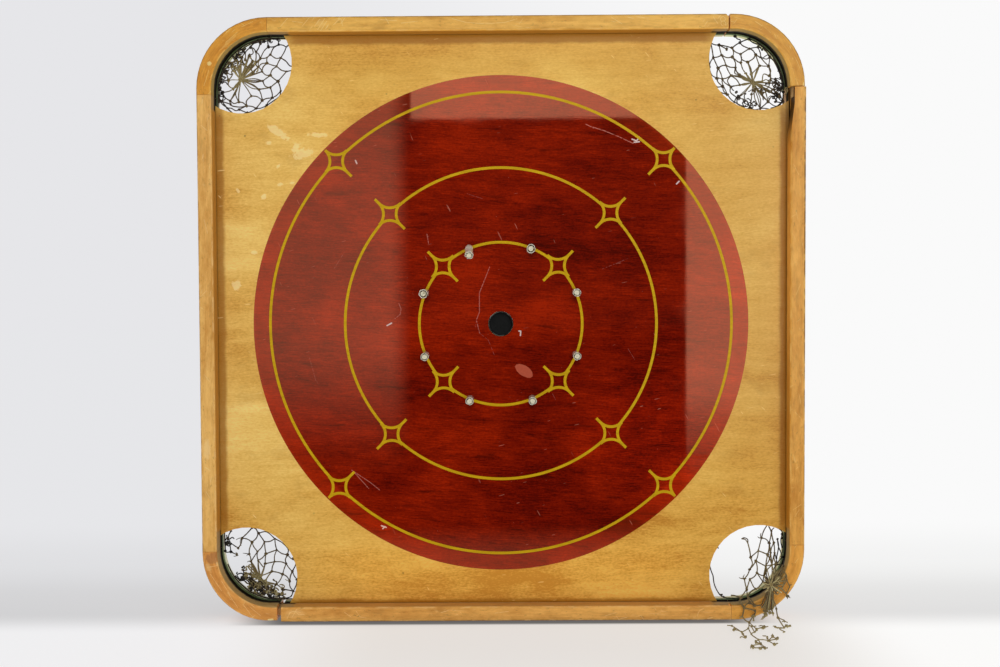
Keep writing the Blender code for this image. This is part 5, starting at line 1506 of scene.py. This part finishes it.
net = Net("net_bottom_left", -1, -1, (-0.2970, 0.0280, -0.3170), 37, slack=0.0016)
net.bars(BL_KNOTS, BL_BARS)
net.rim(0, 330, radius=0.0008)
net.gather(0.0026)
net.tails(["U", "U", "T", "T", "b", "b", "S", "S", "a", "a", "Y", "j", "j", "i", "R"], double=0.8, bow=0.03)
net.fray("D", (-1, 0.2), 3, 6)
net.fray("I", (-0.4, -0.6), 1, 2.5)
net.fray("K", (-1, 0.1), 2, 3.5)
net.fray("T", (-1, 0.3), 3, 4.5)
net.fray("U", (-1, 0.1), 3, 4)
net.fray("l5", (0.6, -0.6), 2, 3)
net.fray("l5", (0.8, 0.4), 1, 2.5)
net.fray("Z", (-1, 0.1), 1, 4.5, 0.8, 0.2)
net.fray("c", (-0.3, 1), 4, 4.0, 0.9)
net.fray("U", (0.1, 1), 2, 3)
net.tangle([(-318, -306), (-308, -317), (-298, -323)], 2.6, 26, (0.30, 0.85), steps=7, pace=1.9, radius=1.25, depth=(0.010, 0.030))
net.tangle([(-318, -308), (-306, -321), (-291, -328), (-276, -331)], 1.8, 38, (0.0, 0.20), steps=7, pace=2.1, radius=1.2, depth=(0.005, 0.024))
net.tangle([(-308, -318), (-296, -325), (-283, -326), (-270, -328), (-262, -331)], 2.4, 32, (0.40, 0.90), steps=6, pace=1.9, radius=1.2, depth=(0.006, 0.028))
net.tangle([(-334, -256), (-333, -270)], 0.8, 8, (0.0, 0.12), steps=5, pace=2.2, radius=1.2, depth=(0.005, 0.014))
net.fingers([(-311, -298, 1), (-309.5, -297.5, -1), (-313, -305, 1), (-303, -306, 1), (-289, -324, 1), (-281, -322, -1), (-301, -328, 1), (-293, -330, -1),
             (-308, -322, 1), (-285, -329, 1)], 0.72, 1.3)
net.done()


# the lower right net: torn along its foot, it hangs forwards through the pocket, over the rail and down to the floor
BR_AT = {
    "T1": (317, 5, -248.5), "T2": (319, 5, -249.5), "T3": (325.5, 5, -251.5), "K1": (322, 4, -255), "K2": (310, 3, -263), "F2": (307, 3, -261.5),
    "K3": (319, 2, -269), "K4": (324.5, 2, -269), "K5": (305.5, 0, -278), "K6": (316.5, -1, -282.5), "K6b": (320, -1, -280), "K7": (325, 0, -280.5),
    "K8": (296, -2, -285.5), "L1": (295, -1, -277), "L2": (293, 0, -268.5), "L3": (290, 0, -264.5), "L4": (285.5, 0, -263.5), "L5": (289, 1, -262.5),
    "L6": (293, 1, -264.5), "K9": (302, -3, -289.5), "K10": (313.5, -4, -295.5), "K11": (321, -4, -294), "K12": (326, -3, -293.5), "K13": (294, -6, -299),
    "K14": (302.5, -7, -303), "K15": (287, -9, -309.5), "K16": (293.5, -9, -310), "K17": (308, -14, -312), "K18": (289, -13, -321), "K19": (299.5, -13, -320.5),
    "K20": (311, -9, -306), "G": (313.5, -29.5, -311.5), "D1": (329.5, 4.5, -265), "D1b": (330.5, 3, -274), "D2": (327.5, 1, -287), "D3": (334, 2, -285.5),
    "D4": (336.5, 3, -289.5), "D5": (334.5, -8, -297), "D6": (331, -14, -302), "W1": (280.5, -22, -328.5), "W2": (288, -22, -327), "W3": (272, -6, -330),
    "W4": (275.5, -12, -329), "R1": (279, -23, -333), "R2": (283.5, -23.5, -340.5), "R3": (290.5, -23, -334.5), "R4": (296, -23.5, -337.5),
    "R5": (281.5, -24, -350.5), "R6": (294.5, -24, -350), "R6b": (296.5, -23.5, -344), "H1": (304, -24, -337), "P1": (333.5, -23, -301.5),
    "P2": (334, -23.5, -307.5), "P3": (337.5, -23.5, -315.5), "P4": (333.5, -23.5, -324), "P5": (335, -23.5, -327), "P6": (327.5, -26, -317),
    "P7": (328.5, -18, -296), "P8": (332.5, -10, -293), "N1": (313, -27, -345.5), "N2": (308.5, -27, -348), "N3": (306, -27, -350.5),
    "N4": (310.5, -27, -344.5), "M1": (321, -26, -341), "M2": (316.5, -27, -345.5), "R7": (287, -36.5, -354.3), "S1": (281, -59.5, -354.3),
    "S2": (270.5, -75, -354.3), "S3": (285, -74.5, -354.3), "S4": (293.5, -30, -353.5), "S5": (289.5, -64, -354.3), "S6": (283, -104, -354.3),
    "S6a": (279.5, -83.5, -354.3), "S7": (293, -108, -354.3), "S8": (278.5, -111.5, -354.3), "S8a": (282, -119.5, -354.3), "S8b": (283.5, -132, -354.3),
    "Q1": (323.5, -24.5, -352), "Q2": (322.5, -58, -354.3),
    "S2a": (264, -50.5, -354.1), "S2b": (263, -66.5, -354.1), "S2c": (270.5, -94, -354.1), "S2d": (270, -83, -354.3), "S3a": (286, -53, -354.1),
    "S5a": (301, -52.5, -354.1), "S5b": (298, -59.5, -354.1), "S7a": (305, -99.5, -354.1), "S7b": (296.5, -122, -354.1), "S7c": (301.5, -92, -354.1),
    "S7d": (295, -95, -354.1), "S8c": (283, -136, -354.1), "S8d": (270.5, -127, -354.1), "S8e": (270.5, -134, -354.1), "S8f": (278, -136, -354.1),
    "Q1a": (329.5, -30, -353.5), "Q2a": (313, -55.5, -354.1), "Q2b": (330.5, -52, -354.1), "Q2c": (319.5, -75, -354.1), "Q2d": (316, -64, -354.1),
    "Q2e": (327.5, -48.5, -354.1)}
BR_LINES = [
    "T1 K2", "T2 K1", "T3 K1", "K2 K3", "K1 K3", "K1 K4", "K2 K5", "K5 K6", "K3 K6", "K3 K6b", "K3 K6", "K4 K7", "K4 K6b", "K7 D2", "K5 K9", "K5 K8", "K8 L1 L2",
    "L2 L3 L4", "L2 L6 L5 L4", "K8 K13", "K9 K13", "K9 K10", "K9 K14", "K10 K11 K12", "K6 K10", "K6b K11", "K6b K10", "K7 K11", "K7 K12", "K6 K11", "D2 K12",
    "K13 K15", "K14 K16", "K14 K17", "K14 K20", "K10 K20", "K11 K20", "K10 K17", "K15 K18", "K16 K18", "K16 K19 K17", "D1 D1b D2", "D1b D3 K12", "D3 D4 D5 D6",
    "D4 D5", "D5 P8 K12", "D1 D1b", "K18 W1 R1 R2", "K18 W2 R3", "W3 W4 W1", "R3 R4 H1", "R1 R2 R5", "R2 R6b R6", "R3 R2", "R5 R7", "R6 R7", "R7 S1 S2",
    "R7 S5 S3", "R6 S4", "S3 S5", "S3 S6a S6", "S1 S6a", "S6 S7", "S6 S8 S8a S8b", "S6 S8a", "M1 Q1 Q2", "W2 K19", "R4 W2",
    "S2 S2a", "S2 S2b", "S2 S2d S2c", "S7 S7a", "S7 S7c", "S7 S7b", "S7d S7", "S3 S3a", "S5 S5a", "S5 S5b", "S8b S8c", "S8b S8f", "S8a S8d",
    "S8b S8e", "Q1 Q1a", "Q2 Q2a", "Q2 Q2b", "Q2 Q2e", "Q2 Q2d Q2c"]
BR_FRAYS = [  # where, which way (x, y, z), how many, how long in mm
    ("K2", (-1, 0, 0.5), 2, 4), ("K15", (-1, 0, 0.3), 2, 5), ("K15", (-0.4, 0, 1), 1, 4), ("K15", (-0.3, 0, -1), 1, 4), ("R5", (-0.5, -0.4, -0.2), 2, 4),
    ("R2", (1, 0, 0.2), 1, 3), ("N1", (0.3, 0, -1), 2, 4), ("N2", (-0.6, 0, -1), 2, 4), ("N3", (-0.6, 0, -0.6), 2, 4), ("N4", (-1, 0, -0.4), 2, 5),
    ("M2", (0.6, 0, -1), 2, 4), ("D4", (0.2, 0, 1), 1, 3), ("K12", (0.6, 0, 0.8), 1, 4), ("P5", (0.4, 0, -1), 2, 3), ("P3", (0.2, 0, 0.6), 1, 3)]
FLOOR_TIPS = ["S2a", "S2b", "S2c", "S3a", "S5a", "S5b", "S7a", "S7b", "S7c", "S7d", "S8c", "S8d", "S8e", "S8f", "Q1a", "Q2a", "Q2b", "Q2c", "Q2e", "S8b", "S8a"]

tw = Twine(53)
rng = tw.rng


def br(q):
    return np.array(BR_AT[q]) / 1000 + np.array([0, 0, HALF])


def br_shade(q):
    """Painted shade: brown and dark where it hangs through the pocket, darkest by the right rail; olive at the gather
    and on the floor.
    """
    s_ = 0.44
    if q[1] > 0.0:
        s_ = 0.34
    if q[0] > 0.327 and q[1] > -0.012:
        s_ = 0.08
    if q[1] < -0.026 or q[2] < 0.006:
        s_ = 0.66
    return s_


def outside(p):
    """Keeps cords above the floor."""
    p = np.array(p, float)
    p[2] = max(p[2], 0.0011)
    return p


for line in BR_LINES:
    pts = [br(q) for q in line.split()]
    if len(pts) == 2:
        a_, b_ = pts
        d_ = b_ - a_
        pts = [a_, (a_ + b_) / 2 + np.array([-d_[2], rng.normal(0, 0.001), d_[0]]) * rng.normal(0, 0.07), b_]
    stout = (0.98 if max(q[2] for q in pts) < 0.004 else 1.22) if min(q[1] for q in pts) < -0.020 else 1.08
    tw.cord([outside(q) for q in catmull(pts, 5)], TWINE_R * stout * rng.uniform(0.92, 1.12), br_shade)
for q in BR_AT:
    if q[0] in "KSR" or q in ("D1", "D2", "D3", "D4", "W1", "W2", "N1", "N2", "N3", "M1", "M2", "Q1", "Q2", "P5"):
        tw.knot(br(q), (0.00145 if BR_AT[q][2] < -352 else 0.0019 if BR_AT[q][1] < -20 else 0.0016) * rng.uniform(0.8, 1.25), br_shade)
for q, way, count, length in BR_FRAYS:
    flat = BR_AT[q][2] < -352
    before = len(tw.v)
    tw.frays(br(q), np.array(way, float), count, length / 1000, br_shade, 0.50, TWINE_R * (1.25 if flat else 0.9))
    if flat:                                                   # these lie on the floor
        for k in range(before, len(tw.v)):
            v = tw.v[k]
            base = br(q)[2]
            v[2] = max(0.0004, base + (v[2] - base) * 0.12)
    for k in range(before, len(tw.v)):
        tw.v[k][1] = max(tw.v[k][1], -0.1425)
        tw.v[k][2] = max(tw.v[k][2], 0.0003)
for q in FLOOR_TIPS:                                           # hooked, split ends of the cords that lie on the floor
    p_ = br(q)
    for k in range(1 + (rng.random() < 0.45)):
        a_ = rng.uniform(0, 2 * pi)
        n_ = rng.uniform(0.0024, 0.0046)
        way_ = [p_]
        for j in range(4):
            a_ += rng.normal(0.35, 0.45)
            way_.append(way_[-1] + np.array([cos(a_) * n_ / 2.6, sin(a_) * n_ * 1.6 / 2.6, 0]))
        for w_ in way_:
            w_[1] = max(w_[1], -0.1385)
            w_[2] = 0.0010 + 0.0008 * rng.random()
        tw.cord(catmull(way_, 3), TWINE_R * 0.95, 0.60 + 0.25 * rng.random())
    if rng.random() < 0.6:
        tw.knot(p_, 0.0014 * rng.uniform(0.8, 1.2), 0.62)
# strands drawn together into the gather
g_ = br("G")
for q in ["K10", "K10", "K11", "K11", "K12", "K12", "K17", "K17", "K20", "K20", "K20", "D5", "D6", "D6", "K19"]:
    a_ = br(q)
    side = rng.normal(0, 0.0022, 3)
    way_ = [a_, a_ * 0.55 + g_ * 0.45 + side + np.array([0, 0.002, 0]), a_ * 0.15 + g_ * 0.85 + side * 0.5, g_]
    tw.cord(catmull(way_, 5), TWINE_R * rng.uniform(0.95, 1.2), float(rng.choice([0.25, 0.5, 0.75])))
tw.knot(g_, 0.0034, 0.62, 0.14)
for k in range(22):                                              # the star of cords round the gather
    a = 2 * pi * k / 22 + rng.uniform(-0.12, 0.12)
    ln = rng.uniform(0.007, 0.0125) * (1.25 if cos(a) > 0.2 else 0.85)
    d_ = np.array([cos(a), 0.0, sin(a)])
    n_ = np.array([-sin(a), 0, cos(a)]) * rng.normal(0, 0.22)
    y_ = rng.uniform(-0.0015, 0.0022)
    tw.cord(catmull([g_, g_ + d_ * ln * 0.5 + n_ * ln * 0.3 + (0, y_ - 0.0018, 0), g_ + d_ * ln + n_ * ln + (0, y_, 0)], 4), TWINE_R * rng.uniform(0.95, 1.2), (0.35, 0.72, 0.95)[k % 3])
for k in range(11):                                              # loops to the right and a matted heart
    a = rng.uniform(-1.0, 1.1)
    r_ = rng.uniform(0.006, 0.013)
    c_ = g_ + np.array([cos(a) * r_, rng.uniform(-0.001, 0.003), sin(a) * r_])
    q_ = rng.uniform(0, 6)
    tw.cord([c_ + np.array([cos(q_ + t) * 0.0030, 0.0006 * sin(3 * t), sin(q_ + t) * 0.0022]) for t in np.linspace(0, 4.4, 12)], TWINE_R, 0.55 + 0.2 * rng.random())
for line in ("P7 P1 P2 P3", "P8 P7", "P2 P6", "P3 P4 P5", "P6 P4", "P1 P6"):
    tw.cord(catmull([br(q) for q in line.split()], 5), TWINE_R, 0.48)
for q in ("P7", "P1", "P2", "P6", "P6", "P4", "P8"):
    a_ = br(q)
    tw.cord(catmull([g_, (a_ + g_) / 2 + rng.normal(0, 0.0010, 3), a_], 5), TWINE_R, 0.55)
for k in range(9):                                               # the tassel that hangs from it
    u_ = (k - 4) / 4
    x0 = g_[0] + 0.0032 * u_
    foot = -0.3415 - 0.004 * rng.random() + 0.004 * abs(u_)
    drift = -0.0030 + 0.0042 * u_ + rng.normal(0, 0.0006)
    y_ = -0.0285 + rng.uniform(-0.002, 0.0012)
    tw.cord(catmull([g_ + (0.0010 * u_, 0, 0), (x0, y_, g_[2] - 0.008), (x0 + drift * 0.4, y_, g_[2] - 0.018), (x0 + drift + rng.normal(0, 0.0006), y_ + 0.001, foot + HALF)], 5),
            TWINE_R * rng.uniform(1.0, 1.2), (0.30, 0.85, 0.55)[k % 3])
    if k % 2 == 0:
        tw.knot((x0 + drift, y_ + 0.001, foot + HALF), 0.0014, 0.5)
for q in ("N1", "N2", "N4", "M2", "M1", "N3"):
    a_ = br(q)
    tw.cord(catmull([(a_[0] * 0.5 + g_[0] * 0.5, -0.0275, g_[2] - 0.018), (a_[0] * 0.8 + g_[0] * 0.2, -0.0272, a_[2] + 0.006), a_], 5), TWINE_R, 0.55)
tw.cord(catmull([br("H1"), (br("H1") + g_) / 2 + (-0.002, 0, -0.004), g_], 5), TWINE_R, 0.3)
# what is left of the head cord: along the panel's edge and the foot of the pocket, and two stubs
for pts in ([(0.2523, 0.0050, -0.3090), (0.2540, 0.0048, -0.3200), (0.2590, 0.0046, -0.3300), (0.2650, 0.0046, -0.3350), (0.2760, 0.0050, -0.3362), (0.2870, 0.0050, -0.3360)],
            [(0.2480, 0.0048, -0.2960), (0.2500, 0.0050, -0.3030), (0.2523, 0.0050, -0.3090)],
            [(0.2690, 0.0044, -0.2495), (0.2705, 0.0040, -0.2530), (0.2715, 0.0040, -0.2560)],
            [(0.2550, 0.0046, -0.2680), (0.2570, 0.0040, -0.2720), (0.2585, 0.0040, -0.2760)],
            [(0.3180, 0.0052, -0.2480), (0.3260, 0.0052, -0.2500), (0.3350, 0.0050, -0.2560), (0.3362, 0.0050, -0.2700), (0.3358, 0.0050, -0.2820)],
            [(0.3352, 0.0060, -0.2600), (0.3345, 0.0085, -0.2680), (0.3355, 0.0060, -0.2760)]):
    tw.cord(catmull([np.array(q) + (0, 0, HALF) for q in pts], 5), TWINE_R * 1.1, 0.06)
for x_, z_ in ((0.2650, -0.3345), (0.2620, -0.3320), (0.3350, -0.2590), (0.3350, -0.2640)):
    tw.knot((x_, 0.0048, z_ + HALF), 0.0015, 0.08)
net_br = tw.build("net_bottom_right")
ride(net_br, hides=["pocket_net_bottom_right", "head_cord_bottom_right", "gather_knot_bottom_right", "torn_net_strands"])


# ======================================================================= pegs
PEG_PROUD = 0.0190
BENDS = {1: (34, 2), 2: (6, -35), 3: (3, 20), 4: (5, 10), 5: (5, 0), 6: (4, -5), 7: (4, -10), 8: (6, -50)}


def peg_line(bend, lean):
    """The peg's centre line, straight in the panel and bent just in front of it, as in the CAD source."""
    def place(s_):
        start, run, drop, angle = 0.0006, 0.0040, 0.0, 0.0
        if s_ <= start:
            y = s_
        else:
            y = start
            for k in range(12):
                ds = (s_ - start) / 12
                angle = radians(bend) * min(1.0, (start + ds * (k + 0.5) - start) / run)
                y += ds * cos(angle)
                drop += ds * sin(angle)
            angle = radians(bend) * min(1.0, (s_ - start) / run)
        c, w = cos(radians(lean)), sin(radians(lean))
        side = Vector((w, 0, -c))
        return Vector((0, FRONT - y, 0)) + side * drop, Vector((c, 0, w)), (side * cos(angle) + Vector((0, 1, 0)) * sin(angle)).normalized()
    return place


def shell(name, rings, mat, closed=False, smooth=35):
    bm = bmesh.new()
    rows = [[bm.verts.new(p) for p in ring] for ring in rings]
    n = len(rows[0])
    pairs = list(zip(rows, rows[1:])) + ([(rows[-1], rows[0])] if closed else [])
    for a, b in pairs:
        for j in range(n):
            k = (j + 1) % n
            bm.faces.new((a[j], a[k], b[k], b[j]))
    if not closed:
        bm.faces.new(rows[0])
        bm.faces.new(rows[-1])
    bmesh.ops.recalc_face_normals(bm, faces=bm.faces)
    mesh = bpy.data.meshes.new(name)
    bm.to_mesh(mesh)
    bm.free()
    return new_object(name, mesh, mat, smooth)


def peg_pieces(k):
    bend, lean = BENDS[k]
    px, pz = peg_spot(k)
    place = peg_line(bend, lean)
    rng = np.random.default_rng(90 + k)
    hub = at(px, 0, pz)

    def ring(s_, radius, n):
        c, u, v = place(s_)
        out = []
        for j in range(n):
            a = 2 * pi * j / n
            r = radius(a) if callable(radius) else radius
            out.append(hub + c + u * (r * cos(a)) + v * (r * sin(a)))
        return out

    # the cream post: a shank in the panel, a slightly waisted stem and a worn, nearly square end
    n = 20
    lumps = [rng.normal(0, 0.035) for _ in range(4)]
    flat = rng.uniform(0, pi)

    def stem(base, rough=1.0):
        def radius(a):
            r = base * (1 + rough * (lumps[0] * cos(a + flat) + lumps[1] * cos(2 * a + flat) + lumps[2] * cos(3 * a + 1) + 0.5 * lumps[3] * cos(5 * a)))
            return min(r, 0.00352)
        return radius
    rows = [ring(-PANEL_T + 0.0004, 0.0019, n), ring(-PANEL_T + 0.0008, 0.0023, n), ring(0.0004, 0.0023, n), ring(0.0006, stem(0.0032), n)]
    for j in range(1, 9):
        rows.append(ring(0.0006 + (PEG_PROUD - 0.0014) * j / 9, stem(0.00325 - 0.00012 * sin(pi * j / 9)), n))
    rows += [ring(PEG_PROUD - 0.0006, stem(0.0031), n), ring(PEG_PROUD - 0.0001, stem(0.0028), n), ring(PEG_PROUD - 0.00005, stem(0.0018), n),
             ring(PEG_PROUD - 0.0003, stem(0.0007), n)]
    post = shell(f"peg_{k}_post_worn", rows, mat_post, smooth=50)
    ride(post, f"peg_{k}", [f"peg_{k}_post"])

    # the sleeve: thin clear tubing gone hard, crumpled and split at its mouth
    n = 32
    amp = {1: 0.05, 2: 0.075, 8: 0.08, 3: 0.05}.get(k, 0.035)
    flare = {2: 0.13, 8: 0.13, 1: 0.06}.get(k, 0.0)            # two mouths have opened out
    waves = [(rng.integers(2, 7), rng.uniform(0, 6.28), rng.normal(0, 1)) for _ in range(5)]
    slit = {1: 2.4, 2: -0.9, 3: 2.3, 4: 1.4, 5: 1.2, 6: 1.9, 7: 0.4, 8: -0.2}[k]
    start = 0.0016 if bend > 12 else 0.0008

    def wall(base, s_, sign):
        def radius(a):
            w = sum(g * cos(m * a + ph + s_ * 240 * (i - 2)) for i, (m, ph, g) in enumerate(waves)) / 3
            near = max(0.0, (s_ - 0.010) / 0.009)
            r = base * (1 + amp * w * (0.35 + near))
            # a crease runs down one side
            crease = max(0.0, 1 - abs(((a - slit + pi) % (2 * pi)) - pi) / 0.35)
            r -= 0.00050 * crease * near
            if bend > 12:                                  # kinked where it folds over
                r *= 1 - 0.10 * np.exp(-((s_ - 0.0075) / 0.0012) ** 2) - 0.06 * np.exp(-((s_ - 0.0128) / 0.0010) ** 2) + 0.05 * np.exp(-((s_ - 0.0160) / 0.0014) ** 2)
            r *= 1 + flare * near
            return max(r, 0.00358) if sign < 0 else min(max(r, 0.00405), 0.0056)
        return radius

    stops = [start + (PEG_PROUD - 0.0010 - start) * j / 12 for j in range(13)]
    edge = [0.00030 * sum(g * cos(m * 2 * pi * j / n + ph) for m, ph, g in waves) / 2 for j in range(n)]
    cut = [-0.0016 * max(0.0, 1 - abs(((2 * pi * j / n - slit + pi) % (2 * pi)) - pi) / 0.28) for j in range(n)]
    outer_rows, inner_rows = [], []
    for s_ in stops:
        late = max(0.0, (s_ - stops[-3]) / (stops[-1] - stops[-3]))
        outer, inner = ring(s_, wall(0.0047, s_, 1), n), ring(s_, wall(0.0039, s_, -1), n)
        if late > 0:
            c, u, v = place(s_)
            axis = (place(s_ + 0.0004)[0] - c).normalized()
            outer = [p + axis * (edge[j] + cut[j]) * late for j, p in enumerate(outer)]
            inner = [p + axis * (edge[j] + cut[j]) * late for j, p in enumerate(inner)]
        outer_rows.append(outer)
        inner_rows.append(inner)
    sleeve = shell(f"peg_{k}_sleeve_worn", outer_rows + inner_rows[::-1], mat_sleeve, closed=True, smooth=60)
    ride(sleeve, f"peg_{k}", [f"peg_{k}_sleeve"])


for k in range(1, 9):
    peg_pieces(k)
